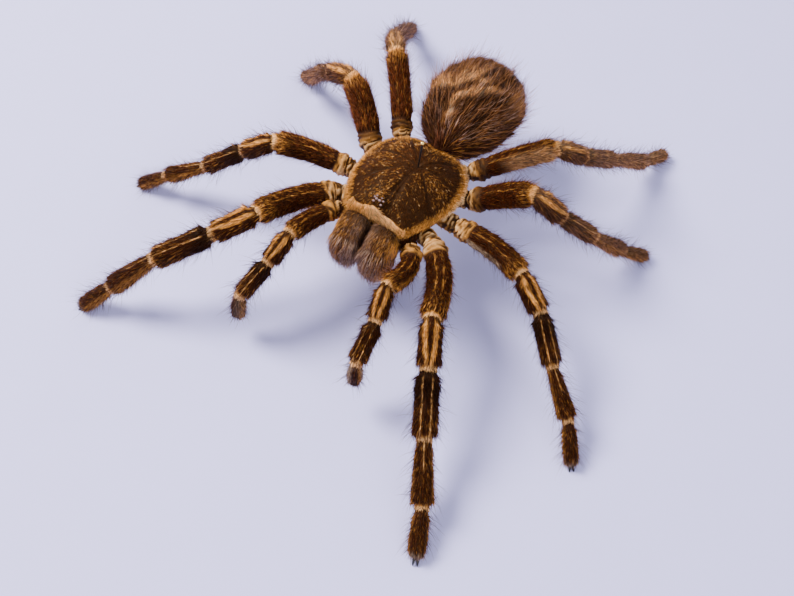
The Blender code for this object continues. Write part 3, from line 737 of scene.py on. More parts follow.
def tidy_piece(made, material, node):
    """The last steps of each piece: its finish, its body, and hiding the solid that it stands for."""
    made.data.materials.clear()
    made.data.materials.append(material)
    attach(made, "root")
    if node:
        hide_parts(node)
    return made


def dress(node, body, skin, coat, hair):
    """Finishes a solid's skin and fur."""
    tidy_piece(body, skin, node)
    tidy_piece(coat, hair, node)


SKIN_STRAND = (0.5, 0.25, 0.0, 0.0)  # its tone, its nearness to a tip, and two that aren't used


def wrapped_skin(name, shape, segments, rings, marks_at=None):
    """A closed skin: a ball's rings are laid along the shape from its start to its end."""
    deselect()
    bpy.ops.mesh.primitive_uv_sphere_add(segments=segments, ring_count=rings, radius=1.0)
    made = named(name)
    ball = np.empty(len(made.data.vertices) * 3)
    made.data.vertices.foreach_get("co", ball)
    ball = ball.reshape(-1, 3)
    share = np.arccos(np.clip(ball[:, 2], -1.0, 1.0)) / math.pi
    roll = np.degrees(np.arctan2(ball[:, 0], ball[:, 1]))
    roll[np.abs(ball[:, 2]) > 0.99999] = 0.0
    distance = share * shape.length
    made.data.vertices.foreach_set("co", placed(shape.surface(distance, roll)).ravel())
    marks = marks_at(distance, roll) if marks_at else marks_of(len(ball))
    add_marks(made.data, marks, np.tile(SKIN_STRAND, (len(ball), 1)))
    made.data.uv_layers[0].name = "OFBake"
    bpy.ops.object.mode_set(mode="EDIT")
    bpy.ops.mesh.select_all(action="SELECT")
    bpy.ops.mesh.normals_make_consistent(inside=False)
    bpy.ops.object.mode_set(mode="OBJECT")
    bpy.ops.object.shade_smooth()
    return made


def places_on(shape, distance, roll):
    """For places on a shape: the point, the direction along it and the direction outwards."""
    reach = 0.02 * (1.0 if shape.length > 6.0 else 0.2)
    ahead = np.minimum(distance + reach, shape.length)
    point = shape.surface(distance, roll)
    along = unit(shape.surface(ahead, roll) - shape.surface(ahead - 2 * reach, roll))
    around = shape.surface(distance, roll + 0.5) - shape.surface(distance, roll - 0.5)
    out = unit(np.cross(along, around))
    inside = (out * (point - shape.middle(distance, roll))).sum(-1, keepdims=True) < 0.0
    return point, along, np.where(inside, -out, out)


def laid_flat(direction, out):
    """A direction turned to lie flat on the surface."""
    return unit(direction - out * (direction * out).sum(-1, keepdims=True))


class Fur:
    """Hairs collected as arrays, then made into one mesh of slender closed spikes."""

    def __init__(self, name):
        self.name = name
        self.random = random_for(name)
        self.straight = []
        self.curved = []

    def grow(self, shape, distance, roll, marks, **look):
        """Hairs that lie along a shape."""
        self.stand(*places_on(shape, distance, roll), marks, **look)

    def stand(
        self, point, along, out, marks, *, length, tilt, width, sway=7.0, scatter=5.0, curl=0.0, yaw=0.0
    ):
        """Hairs at these points: length and width are in millimetres, tilt, sway, scatter and yaw in degrees.

        Curl bends them back towards the skin, as a share of their length.
        """
        count = len(point)
        random = self.random
        side = unit(np.cross(out, along))
        turn = np.radians(random.normal(0.0, sway, count) + yaw)[:, None]
        lift = np.radians(np.clip(tilt + random.normal(0.0, scatter, count), 2.0, 88.0))[:, None]
        heading = along * np.cos(turn) + side * np.sin(turn)
        ray = heading * np.cos(lift) + out * np.sin(lift)
        length = np.broadcast_to(length, count)[:, None] * random.uniform(0.72, 1.25, count)[:, None]
        width = np.broadcast_to(width, count)[:, None] * random.uniform(0.75, 1.25, count)[:, None]
        tone = random.random(count)
        bend = (heading - out) * (np.broadcast_to(curl, count)[:, None] * length)
        spin = random.uniform(0.0, 2 * math.pi, count)
        root = point - out * (width * 0.5)
        batch = (root, ray * length, bend, width / 2, marks, tone, spin)
        (self.curved if np.any(curl) else self.straight).append(batch)

    def build(self):
        """The mesh: a straight hair is one closed spike, and a curved one has a joint halfway."""
        parts = [spikes(batch, 1) for batch in self.straight] + [spikes(batch, 2) for batch in self.curved]
        points, faces, marks, strands, cells = zip(*parts)
        starts = np.cumsum([0, *map(len, points)])
        faces = np.concatenate([corners + start for corners, start in zip(faces, starts)])
        points, marks, strands = (np.concatenate(values) for values in (points, marks, strands))
        mesh = bpy.data.meshes.new(self.name)
        mesh.vertices.add(len(points))
        mesh.vertices.foreach_set("co", placed(points).astype(np.float32).ravel())
        mesh.loops.add(faces.size)
        mesh.loops.foreach_set("vertex_index", faces.astype(np.int32).ravel())
        mesh.polygons.add(len(faces))
        mesh.polygons.foreach_set("loop_start", np.arange(0, faces.size, 3, dtype=np.int32))
        add_marks(mesh, marks, strands)
        mesh.uv_layers.new(name="OFBake").data.foreach_set("uv", strand_map(cells).astype(np.float32).ravel())
        mesh.update(calc_edges=True)
        mesh.shade_smooth()
        made = bpy.data.objects.new(self.name, mesh)
        bpy.context.scene.collection.objects.link(made)
        return made


# A hair's faces, from its root's three corners up to its tip, which comes last
SPIKE_FACES = {
    1: ((0, 2, 1), (0, 1, 3), (1, 2, 3), (2, 0, 3)),
    2: (
        (0, 2, 1),
        (0, 1, 4), (0, 4, 3), (1, 2, 5), (1, 5, 4), (2, 0, 3), (2, 3, 5),
        (3, 4, 6), (4, 5, 6), (5, 3, 6),
    ),
}


def spikes(batch, joints):
    """Points, faces, marks, strands and each face corner's place in its hair's own cell of the map."""
    root, ray, bend, half_width, marks, tone, spin = batch
    count = len(root)
    axis = unit(ray)
    helper = np.where(np.abs(axis[:, 2:]) < 0.9, np.array([[0.0, 0.0, 1.0]]), np.array([[1.0, 0.0, 0.0]]))
    first = unit(np.cross(axis, helper))
    second = np.cross(axis, first)
    points, along = [], []
    for level in range(joints):
        share = level / joints
        centre = root + ray * share + bend * share**2
        taper = 1.0 - 0.3 * share
        for corner in range(3):
            angle = (spin + corner * 2 * math.pi / 3)[:, None]
            points.append(centre + (first * np.cos(angle) + second * np.sin(angle)) * half_width * taper)
            along.append(share)
    points.append(root + ray + bend)
    along.append(1.0)
    corners = len(points)
    points = np.stack(points, 1).reshape(-1, 3)
    pattern = np.array(SPIKE_FACES[joints])
    faces = (np.arange(count)[:, None, None] * corners + pattern).reshape(-1, 3)
    strands = np.zeros((count, corners, 4))
    strands[..., 0] = tone[:, None]
    strands[..., 1] = np.array(along)
    cell = np.array([(0.15 + 0.35 * (k % 3), 0.1 + 0.8 * along[k]) for k in range(corners)])
    cell[-1, 0] = 0.5
    return points, faces, np.repeat(marks, corners, 0), strands.reshape(-1, 4), (count, cell[pattern])


def strand_map(batches):
    """Gives each hair a small cell of its own in the map."""
    total = sum(count for count, _ in batches)
    columns = math.ceil(math.sqrt(total))
    start, maps = 0, []
    for count, cell in batches:
        index = np.arange(start, start + count)
        corner = np.stack([index % columns, index // columns], 1)
        maps.append(((corner[:, None, None, :] + cell) / columns).reshape(-1, 2))
        start += count
    return np.concatenate(maps)


# Limbs
FOLD_RINGS = {  # where the folds at the hip are pale, from and to, measured from the hip, and how pale
    "palp": (-5.0, 0.6, 0.7),
    "leg_1": (-6.4, 3.4, 0.85),
    "leg_2": (-6.4, 2.4, 0.85),
    "leg_3": (-5.5, 1.2, 0.85),
    "leg_4": (-5.0, 0.2, 0.5),
}


class LimbSpots:
    """Places on a limb as its pattern sees them: each one's part, the way along it, and what varies there."""

    def __init__(self, tube, distance, roll, random):
        self.tube, self.distance, self.roll = tube, distance, roll
        self.size = np.abs(roll)
        self.part = tube.part(distance)
        self.way = tube.zone(distance) - self.part
        self.thigh, self.knee, self.foot = self.part == 0, self.part == 1, self.part == tube.last
        self.shin, self.ankle = ((self.part == k) & ~self.foot for k in (2, 3))
        self.fold = tube.crumpled(distance)
        rod = on_rod(distance, roll)
        self.rough = soft_noise(rod, 0.9, 11)
        self.wander = 5.0 * soft_noise(rod * (0.35, 0.0, 0.0), 1.0, tube.lumps + 2)
        self.flecks = flecks_of(random, len(distance))
        index = np.clip(self.part.astype(int) + 2, 0, len(tube.zone_at) - 2)
        to_end = np.diff(tube.zone_at)[index] * (1.0 - self.way)
        self.into_ring = np.where(self.thigh, 0.5, 0.9) - to_end + 0.25 * self.rough


def limb_marks(tube, distance, roll, random=None):
    """Stripes, rings, folds and pale undersides of a leg or palp."""
    spots = LimbSpots(tube, distance, roll, random)
    marks = marks_of(len(distance))
    gold, cream, black, grey = marks.T
    add_stripes(spots, gold, cream, black)
    add_joint_rings(spots, gold, cream, black)
    add_hip_folds(spots, gold, cream, black)
    add_soles(spots, gold, cream, grey)
    if tube.rear:
        fade_rear_leg(spots, black, grey)
    add_stray_gold(spots, gold, black)
    return np.clip(marks, 0.0, 1.0)


def add_stripes(at, gold, cream, black):
    """Pale lines along the upper side of each segment, and the shins' black fur."""
    lines = band(at.size + at.wander - np.interp(at.way, (0.0, 1.0), (23, 16)), 1.6, 2.4)
    lines = lines * band(at.way - 0.38, 0.33, 0.15)
    flare = rise(at.way + 0.05 * at.rough, 0.66, 0.95) * (at.flecks < 0.45)
    behind = band(at.roll + 88 + at.wander, 18, 16) * band(at.way - 0.45, 0.42, 0.1) * (at.flecks < 0.62)
    gold += at.thigh * np.maximum.reduce([0.75 * lines, 0.8 * flare, 0.7 * behind])

    from_stripe = at.size + 0.5 * at.wander - np.interp(at.way, (0.0, 0.5, 0.85, 1.0), (32, 28, 15, 8))
    half_width = np.interp(at.way, (0.0, 0.3, 0.7, 1.0), (12, 17, 12, 5))
    stripe = at.knee * band(from_stripe, half_width, 5) * band(at.way - 0.49, 0.45, 0.06)
    gold += stripe
    cream += stripe * band(from_stripe, 3.0, 5.0) * 0.3

    from_line = at.size + 0.5 * at.wander - 24
    along = at.shin * band(at.way - 0.53, 0.43, 0.06)
    gold += along * band(from_line, 3.4, 2.5)
    cream += along * band(from_line, 2.2, 2.0) * 0.5
    from_middle = at.roll + 0.4 * at.wander
    along = at.ankle * band(at.way - 0.22, 0.2, 0.06)
    gold += along * band(from_middle, 3.0, 2.5)
    cream += along * band(from_middle, 2.0, 2.0) * 0.4

    brown_from, brown_at = (0.25, 0.6) if at.tube.left else (0.15, 0.45)
    brown = 0.85 * rise(at.way + 0.05 * at.rough, brown_from, brown_at)
    black += at.shin * (1.0 - brown) * (at.flecks < 0.87)
    black *= 0.35 if at.tube.kind == "palp" and at.tube.left else 1.0
    black *= np.clip(1.0 - gold, 0.0, 1.0)


def add_joint_rings(at, gold, cream, black):
    """Pale hair round the far end of each segment but the last."""
    jointed = (at.part >= 0) & ~at.foot
    at_least(gold, jointed * rise(at.into_ring, -0.9, -0.3))
    at_least(cream, jointed * 0.62 * (rise(at.into_ring, -0.4, 0.1) * (0.45 if at.tube.rear else 1.0)))
    black[at.into_ring > -0.5] = 0.0
    at_least(gold, 0.45 * (at.knee & (at.flecks < 0.12) & (at.size > 50)))


def add_hip_folds(at, gold, cream, black):
    """The crumpled bare skin at the hip, pale and tawny in its own colour: brighter on the crests and slopes
    as painted light, with painted shade in the creases and on the underside.
    """
    tube, fold = at.tube, at.fold
    wave = tube.fold_wave(at.distance, at.roll)
    # Painted shade: the folds darken towards the underside.
    shade = 1.0 - 0.7 * rise(at.size, 100, 150)
    start, end, paleness = FOLD_RINGS[tube.kind]
    from_hip = at.distance - tube.hip_at
    pale_stretch = band(from_hip - (start + end) / 2, (end - start) / 2, 0.8)
    # Painted light: the skin's own pale colour shows most on the folds' crests.
    crest = rise(wave + 0.3 * at.rough, -0.2, 0.5) * pale_stretch * paleness
    crest = crest * (1.0 - (0.6 - 0.5 * rise(at.size, 35, 70)) * rise(from_hip, -1.2, 0.4))
    # Painted light: the slopes grow more tawny higher up each fold.
    tawny = 0.35 + 0.4 * rise(wave, -0.6, 0.3)
    if tube.rear:
        tawny *= 0.7 * (1.0 - 0.8 * rise(from_hip, end + 0.2, end + 1.6))
    gold[:] = np.maximum(gold * (1.0 - fold), fold * shade * np.maximum(tawny, crest))
    pale = fold * crest * shade * np.where(from_hip < HIP_CREASE, 1.0, 0.75)
    cream[:] = np.maximum(cream * (1.0 - fold), pale)
    # Painted shade: black in the crease at the hip, in the folds' troughs and on the underside.
    crease = band(from_hip - HIP_CREASE, 0.35, 0.4)
    dark = np.maximum(0.9 * rise(-wave, 0.15, 0.7), 0.95 * crease)
    black[:] = np.maximum(black * (1.0 - fold), fold * np.maximum(dark, 0.6 * (1.0 - shade)))
    at_least(gold, 0.5 * (at.part == -2) * (at.flecks < 0.6))


def add_soles(at, gold, cream, grey):
    """The paler undersides and tips of the feet, and a pale patch behind one thigh."""
    tube = at.tube
    sole = (at.part >= 3) | at.foot
    at_least(grey, 0.75 * (rise(at.size + 8.0 * at.rough, 112, 135) * sole))
    at_least(grey, 0.85 * at.foot * rise(at.way + 0.05 * at.rough, 0.84, 0.95))
    low = rise(at.size + 10.0 * at.rough, 46, 74) * sole * (at.flecks < 0.75)
    at_least(gold, (0.4 + 0.4 * at.flecks) * low)
    if tube.kind == "palp":
        at_least(grey, at.foot * (0.8 if tube.left else 0.3) * (1.0 - band(at.roll + 40, 45, 30)))
    if tube.kind == "leg_2" and tube.left:
        pale = at.thigh * band(at.roll - 98, 24, 16) * rise(0.75 - at.way, 0.0, 0.2) * (at.flecks < 0.85)
        at_least(grey, 0.9 * pale)
        at_least(cream, 0.5 * pale * (at.flecks < 0.3))


def fade_rear_leg(at, black, grey):
    """The rear legs' hair is paler and browner."""
    fourth = at.tube.kind == "leg_4"
    black *= np.where(at.fold > 0.5, 1.0, 0.3)
    faded = (0.5 if fourth else 0.25) * (at.part >= 1) * (at.into_ring < -0.5)
    faded *= 1.0 - 0.6 * at.knee * rise(at.roll, 5, 25)
    if fourth and at.tube.left:
        faded += 0.6 * at.thigh * rise(at.roll, 0, 60) * rise(at.way, 0.1, 0.4)
    at_least(grey, faded * (0.4 + 1.2 * at.flecks))


def add_stray_gold(at, gold, black):
    """Single golden hairs all over, fewer where the fur is black."""
    outer = at.part >= 3
    share = 0.1 + 0.1 * (at.size > 60) + 0.2 * outer
    share = share + (0.1 if at.tube.left else 0.2) * at.shin * rise(at.way, 0.3, 0.7)
    share = share * (1.0 - 0.8 * np.clip(black, 0.0, 1.0)) * (at.into_ring < -0.5)
    share = share * (1.0 - 0.65 * at.thigh * band(at.roll - 70, 38, 20))
    share = share * (1.0 - 0.5 * at.knee * rise(at.size, 45, 60))
    if at.tube.rear and not at.tube.left:
        gold *= np.where(at.thigh, 0.35 + 0.65 * rise(at.way, 0.6, 0.9), 1.0)
        share = share * np.where(at.thigh, 0.6, 1.0)
    at_least(gold, (at.flecks < share) * np.where(outer, 0.1 + 0.6 * at.flecks, 0.25 + 1.2 * at.flecks))


def limb_fur(name, tube, count, scale):
    """Fur over a whole limb, with standing fringes, rings at the joints and a few long bristles."""
    fur = Fur(f"{name}_fur")
    random = fur.random

    def crowding(distance):
        """Denser at the joints' rings, and thinner on the folds and the coxa."""
        coxa = tube.zone(distance) < -1.0
        return 1.0 + 1.2 * tube.ringed(distance) - 0.85 * tube.crumpled(distance) - 0.4 * coxa

    distance, roll = tube.scatter(random, count, crowding)
    part, fold, ring = tube.part(distance), tube.crumpled(distance), tube.ringed(distance)
    marks = limb_marks(tube, distance, roll, random)
    sole = rise(np.abs(roll), 105, 135) * ((part >= 3) | (part == tube.last))
    stripe = np.maximum(marks[:, GOLD] > 0.6, marks[:, CREAM] > 0.3) & (ring < 0.5)
    length = np.where(part < 0, 1.3, 2.1) * np.where(part == tube.last, 0.8, 1.0)
    length = length * (1.0 - 0.55 * ring) * (1.0 - 0.4 * sole) * (1.0 - 0.5 * fold)
    length = length * (1.0 + 0.15 * marks[:, BLACK]) * scale
    tilt = 12.0 + 6.0 * np.abs(np.sin(np.radians(roll))) + 38.0 * sole + 4.0 * marks[:, BLACK] + 9.0 * ring
    tilt = tilt - 4.0 * stripe - 6.0 * fold
    sway = np.where(stripe, 3.0, 8.0)
    fur.grow(tube, distance, roll, marks, length=length, tilt=tilt, width=0.19, sway=sway)

    distance, roll = tube.scatter(random, count // 6, lambda place: 1.0 * (tube.zone(place) > 0.1))
    marks = limb_marks(tube, distance, roll, random) * (0.35, 0.35, 1.0, 0.6)
    at_least(marks[:, BLACK], 0.6 * (tube.zone(distance) > 1.0))
    fur.grow(tube, distance, roll, marks, length=2.9 * scale, tilt=43.0, width=0.11, scatter=12.0, sway=14.0)

    def past_hip(distance):
        """All along the limb, but for the hip and the foot's tip."""
        return 1.0 * (tube.zone(distance) > 0.4) * (tube.zone(distance) < tube.last + 0.8)

    bristles = marks_of(count // 32, black=0.7)
    distance, roll = tube.scatter(random, len(bristles), past_hip)
    look = {"tilt": 46.0, "width": 0.085, "sway": 16.0, "scatter": 14.0, "curl": 0.12}
    fur.grow(tube, distance, roll, bristles, length=6.2 * scale, **look)
    return fur.build()


CLAW_LENGTH = 2.3
CLAW_RADIUS = 0.45
CLAW_SPREAD = 0.55


def limb_claws(name, tube):
    """The foot's two hooked claws."""
    end, along, front = tube.centre[-1], tube.along[-1], tube.front[-1]
    down = -tube.above[-1]
    claws = []
    for number, side in enumerate((-1, 1)):
        aside = front * side * CLAW_SPREAD
        knots = [
            end - along * 0.9 + aside * 0.6,
            end + along * 0.2 + aside,
            end + along * (CLAW_LENGTH * 0.6) + aside * 1.15 + down * 0.15,
            end + along * CLAW_LENGTH * 0.85 + aside * 1.2 + down * 0.75,
        ]
        widths = (CLAW_RADIUS, CLAW_RADIUS, CLAW_RADIUS * 0.7, 0.06)
        rings = [(place, width, width) for place, width in zip(lengths_along(knots), widths)]
        claw = Tube(knots, [front] * 3, rings, soften=0.3, round_end=0.3)
        claws.append(wrapped_skin(f"{name}_claw_{number}", claw, 10, 14))
    return joined(f"{name}_claws", claws)


def joined(name, pieces):
    """Like pieces made one, under this name."""
    deselect()
    for piece in pieces:
        piece.select_set(True)
    bpy.context.view_layer.objects.active = pieces[0]
    bpy.ops.object.join()
    return named(name)


# Materials
def feed(tree, node, **values):
    """Sets a node's inputs by label, with _ for a space, to numbers, colours or what other nodes put out."""
    for label, value in values.items():
        connect(tree, node.inputs[label.replace("_", " ")], value)


def connect(tree, socket, value):
    if isinstance(value, bpy.types.NodeSocket):
        tree.links.new(value, socket)
    elif socket.type == "RGBA":
        socket.default_value = (*value[:3], 1.0)
    else:
        socket.default_value = value


def maths(tree, operation, *values):
    node = tree.nodes.new("ShaderNodeMath")
    node.operation = operation
    for socket, value in zip(node.inputs, values):
        connect(tree, socket, value)
    return node.outputs[0]


def mixed(tree, share, first, second):
    """Mixes two colours."""
    node = tree.nodes.new("ShaderNodeMix")
    node.data_type = "RGBA"
    for socket, value in zip((node.inputs[0], node.inputs[6], node.inputs[7]), (share, first, second)):
        connect(tree, socket, value)
    return node.outputs[2]


def scaled(tree, colour, level):
    """A colour made lighter or darker."""
    node = tree.nodes.new("ShaderNodeVectorMath")
    node.operation = "SCALE"
    connect(tree, node.inputs[0], colour)
    connect(tree, node.inputs["Scale"], level)
    return node.outputs[0]


def swing(tree, value, amount):
    """1 where a value is a half, and more or less on either side of it by this amount."""
    change = maths(tree, "MULTIPLY", maths(tree, "SUBTRACT", value, 0.5), amount)
    return maths(tree, "ADD", maths(tree, "MULTIPLY", change, 2.0), 1.0)


def channels(tree, name):
    """The red, green, blue and alpha of a mesh's attribute."""
    attribute = tree.nodes.new("ShaderNodeAttribute")
    attribute.attribute_name = name
    split = tree.nodes.new("ShaderNodeSeparateColor")
    tree.links.new(attribute.outputs["Color"], split.inputs[0])
    return *split.outputs, attribute.outputs["Alpha"]


def new_group(name, inputs, outputs):
    """A new shader node group with these sockets, each a name and a kind: itself, its inputs, its end."""
    group = bpy.data.node_groups.new(name, "ShaderNodeTree")
    for sockets, way in ((inputs, "INPUT"), (outputs, "OUTPUT")):
        for label, kind in sockets.items():
            group.interface.new_socket(name=label, in_out=way, socket_type=f"NodeSocket{kind}")
    return group, group.nodes.new("NodeGroupInput").outputs, group.nodes.new("NodeGroupOutput")


def strand_colour_group():
    """A hair's colour: its marks over the base, its own tone, and a lighter tip."""
    name = "Strand Colour"
    if name in bpy.data.node_groups:
        return bpy.data.node_groups[name]
    inputs = dict.fromkeys(("Base", "Gold", "Cream", "Black", "Grey", "Tip"), "Color")
    inputs |= dict.fromkeys(("Contrast", "Tip Share"), "Float")
    group, given, result = new_group(name, inputs, {"Color": "Color", "Tone": "Float"})
    add, multiply = partial(maths, group, "ADD"), partial(maths, group, "MULTIPLY")
    gold, cream, black, grey = channels(group, "marks")
    tone, outward, *_ = channels(group, "strand")
    tip = multiply(maths(group, "POWER", outward, 1.5), given["Tip Share"])
    shade = mixed(group, multiply(tip, add(tone, 0.3)), given["Base"], given["Tip"])
    for share, label in ((gold, "Gold"), (cream, "Cream"), (grey, "Grey"), (black, "Black")):
        shade = mixed(group, share, shade, given[label])
    level = multiply(swing(group, tone, given["Contrast"]), add(multiply(outward, 0.5), 0.7))
    feed(group, result, Color=scaled(group, shade, level), Tone=tone)
    return group


def fine_grain_group():
    """Small unevenness over a surface, as a shade around 1 and as a height."""
    name = "Fine Grain"
    if name in bpy.data.node_groups:
        return bpy.data.node_groups[name]
    inputs, outputs = {"Scale": "Float", "Amount": "Float"}, {"Shade": "Float", "Height": "Float"}
    group, given, result = new_group(name, inputs, outputs)
    place = group.nodes.new("ShaderNodeTexCoord")
    noise = group.nodes.new("ShaderNodeTexNoise")
    feed(group, noise, Vector=place.outputs["Object"], Scale=given["Scale"], Detail=4.0)
    feed(group, result, Shade=swing(group, noise.outputs[0], given["Amount"]), Height=noise.outputs[0])
    return group


def placed_group(tree, group, **values):
    """A group in a material, with its inputs, and what it puts out."""
    node = tree.nodes.new("ShaderNodeGroup")
    node.node_tree = group
    feed(tree, node, **values)
    return node.outputs


def new_material(name):
    """A material with its Principled shader."""
    made = bpy.data.materials.new(name)
    made.use_nodes = True
    return made, made.node_tree, made.node_tree.nodes["Principled BSDF"]


def grained(tree, shader, colour, scale, amount):
    """Colours a shader through a fine grain, and gives what the grain puts out."""
    grain = placed_group(tree, fine_grain_group(), Scale=scale, Amount=amount)
    feed(tree, shader, Base_Color=scaled(tree, colour, grain["Shade"]))
    return grain


def hair_material(name, base, tip, tip_share=0.45, cream=None, grey=None):
    """Fur in the animal's colours, or others in place of two of them, over its own base colour."""
    made, tree, shader = new_material(name)
    colours = bpy.context.scene.tarantula_colours
    hair = placed_group(
        tree, strand_colour_group(), Base=base, Tip=tip, Gold=colours.gold, Cream=cream or colours.cream,
        Black=colours.black, Grey=grey or colours.grey, Contrast=0.9, Tip_Share=tip_share,
    )
    rough = maths(tree, "ADD", maths(tree, "MULTIPLY", hair["Tone"], 0.15), 0.43)
    feed(
        tree, shader, Base_Color=hair["Color"], Roughness=rough, Specular_IOR_Level=0.15,
        Specular_Tint=(1.0, 0.6, 0.3),
    )
    return made


def skin_material(name, base, depth=0.35):
    """Dried skin below the fur, in the same marks, with a fine grain."""
    made, tree, shader = new_material(name)
    colours = bpy.context.scene.tarantula_colours
    skin = placed_group(
        tree, strand_colour_group(), Base=base, Tip=base, Gold=shaded(colours.gold, 0.6),
        Cream=shaded(colours.cream, 0.75), Black=colours.black, Grey=shaded(colours.grey, 0.6),
        Contrast=0.5, Tip_Share=0.0,
    )
    grain = grained(tree, shader, skin["Color"], scale=1400.0, amount=0.6)
    relief = tree.nodes.new("ShaderNodeBump")
    feed(tree, relief, Strength=depth, Distance=0.2 * MM, Height=grain["Height"])
    feed(
        tree, shader, Roughness=maths(tree, "MULTIPLY", grain["Shade"], 0.7), Normal=relief.outputs[0],
        Specular_IOR_Level=0.2, Specular_Tint=(1.0, 0.7, 0.4),
    )
    return made


def gloss_material(name, colour, roughness, metallic=0.0, amount=0.25, coat=0.0):
    """Horn, enamel, brass and eyes: smooth, with slight changes of shade and gloss."""
    made, tree, shader = new_material(name)
    grain = grained(tree, shader, colour, scale=2500.0, amount=amount)
    rough = maths(tree, "MULTIPLY", grain["Shade"], roughness)
    feed(tree, shader, Roughness=rough, Metallic=metallic, Coat_Weight=coat)
    return made


def paper_material(name, colour):
    """Pale matt paper for the floor."""
    made, tree, shader = new_material(name)
    grained(tree, shader, colour, scale=60.0, amount=0.02)
    feed(tree, shader, Roughness=0.9)
    return made


# Settings
def colour_setting(name, description, default):
    return bpy.props.FloatVectorProperty(
        name=name, description=description, default=default, min=0.0, max=1.0, size=3, subtype="COLOR"
    )


def hairs_setting(name, description, default):
    return bpy.props.IntProperty(name=name, description=description, default=default, min=100)


def size_setting(name, description, default, smallest):
    return bpy.props.FloatProperty(
        name=name, description=description, default=default, min=smallest, unit="LENGTH"
    )


def light_setting(name, description, default):
    return bpy.props.FloatProperty(name=name, description=description, default=default, min=0.0, unit="POWER")


class TarantulaColours(bpy.types.PropertyGroup):
    leg_brown: colour_setting("Leg Brown", "The legs' dark fur", (0.030, 0.0050, 0.0010))
    leg_tip: colour_setting("Leg Hair Tips", "The lighter ends of the legs' hairs", (0.11, 0.027, 0.007))
    carapace_brown: colour_setting("Carapace Brown", "The carapace's dark fur", (0.023, 0.0036, 0.0006))
    abdomen_brown: colour_setting("Abdomen Brown", "The abdomen's hair", (0.034, 0.0060, 0.0022))
    abdomen_tip: colour_setting("Abdomen Hair Tips", "The ends of the abdomen's hairs", (0.24, 0.075, 0.034))
    jaw_brown: colour_setting("Jaw Brown", "The jaws' grey brown fur", (0.072, 0.025, 0.009))
    gold: colour_setting("Gold", "Stripes, flecks and the carapace's fringe", (0.80, 0.34, 0.070))
    cream: colour_setting("Cream", "Rings at the joints and the comb over the jaws", (1.0, 0.62, 0.30))
    # Black is also painted as shade: in the hip folds' creases and underside, the abdomen's hollows and
    # between the jaws.
    black: colour_setting("Black", "The shins' dark fur", (0.013, 0.0030, 0.0010))
    grey: colour_setting("Grey", "Soles, foot tips and the jaws' long hair", (0.40, 0.27, 0.17))
    floor: colour_setting("Floor", "The pale floor", (0.53, 0.505, 0.89))


class TarantulaFur(bpy.types.PropertyGroup):
    leg_hairs: hairs_setting("Leg Hairs", "How many hairs the largest leg has", 13800)
    carapace_hairs: hairs_setting("Carapace Hairs", "How many hairs the carapace has", 24000)
    abdomen_hairs: hairs_setting("Abdomen Hairs", "How many hairs the abdomen has", 15000)
    jaw_hairs: hairs_setting("Jaw Hairs", "How many hairs each jaw has", 8000)
    length_scale: bpy.props.FloatProperty(
        name="Length", description="Scales the hairs' length", default=1.0, min=0.2, max=2.0, subtype="FACTOR"
    )


class TarantulaPin(bpy.types.PropertyGroup):
    shaft_radius: size_setting("Shaft Radius", "The pin's radius", PIN_RADIUS * MM, 0.0001)
    head_radius: size_setting("Head Radius", "The radius of its brass head", PIN_HEAD_RADIUS * MM, 0.0002)


class TarantulaStage(bpy.types.PropertyGroup):
    floor_size: size_setting("Floor Size", "The floor's width", 4.0, 0.5)
    key_power: light_setting("Key Light", "The main light's power", 38.0)
    fill_power: light_setting("Fill Light", "The fill light's power", 10.0)


# Pieces
class OBJECT_OT_tarantula_limbs(bpy.types.Operator):
    """Adds the skin, fur and claws of the eight legs and two palps"""

    bl_idname = "object.tarantula_limbs"
    bl_label = "Legs and Palps"

    def execute(self, context):
        settings, colours = context.scene.tarantula_fur, context.scene.tarantula_colours
        skin = skin_material("leg_skin", shaded(colours.leg_brown, 0.6))
        hair = hair_material("leg_hair", colours.leg_brown, colours.leg_tip)
        rear_base, rear_tip = shaded(colours.leg_brown, 1.25), shaded(colours.leg_tip, 1.3)
        rear_hair = hair_material("rear_leg_hair", rear_base, rear_tip, grey=(0.62, 0.31, 0.14))
        horn = gloss_material("claw_horn", (0.003, 0.003, 0.004), 0.3, coat=0.2)
        longest = LimbTube("leg_1_left").length
        for name in POSES:
            tube = LimbTube(name)
            rings = round(tube.length / LIMB_SKIN_STEP)
            body = wrapped_skin(f"{name}_skin", tube, 40, rings, partial(limb_marks, tube))
            size = tube.length / longest * (PALP_HAIR_SHARE if tube.kind == "palp" else 1.0)
            coat = limb_fur(name, tube, round(settings.leg_hairs * size), settings.length_scale)
            dress(name, body, skin, coat, rear_hair if tube.rear else hair)
            tidy_piece(limb_claws(name, tube), horn, None)
        return {"FINISHED"}


# On the carapace: place, reach, and how much more or less gold it has
CARAPACE_PATCHES = (
    (9.5, 7.5, 4.0, -0.3),
    (7.0, -11.7, 3.5, -0.3),
    (12.0, -8.0, 3.8, -0.3),
    (-9.9, -12.3, 3.0, -0.2),
    (0.5, -10.0, 3.5, 0.2),
    (-9.4, 2.0, 5.0, 0.02),
    (2.0, 16.0, 3.5, 0.2),
    (6.0, -3.0, 3.0, 0.15),
)


def comb_root(roll):
    """The level where the comb over the jaws starts, narrowing towards the animal's left."""
    narrowing = 0.06 * rise(roll, 8.0, 30.0) + 0.02 * rise(-roll, 18.0, 34.0)
    return 0.86 + 0.045 * bump(roll - 2.0, 12.0) + narrowing


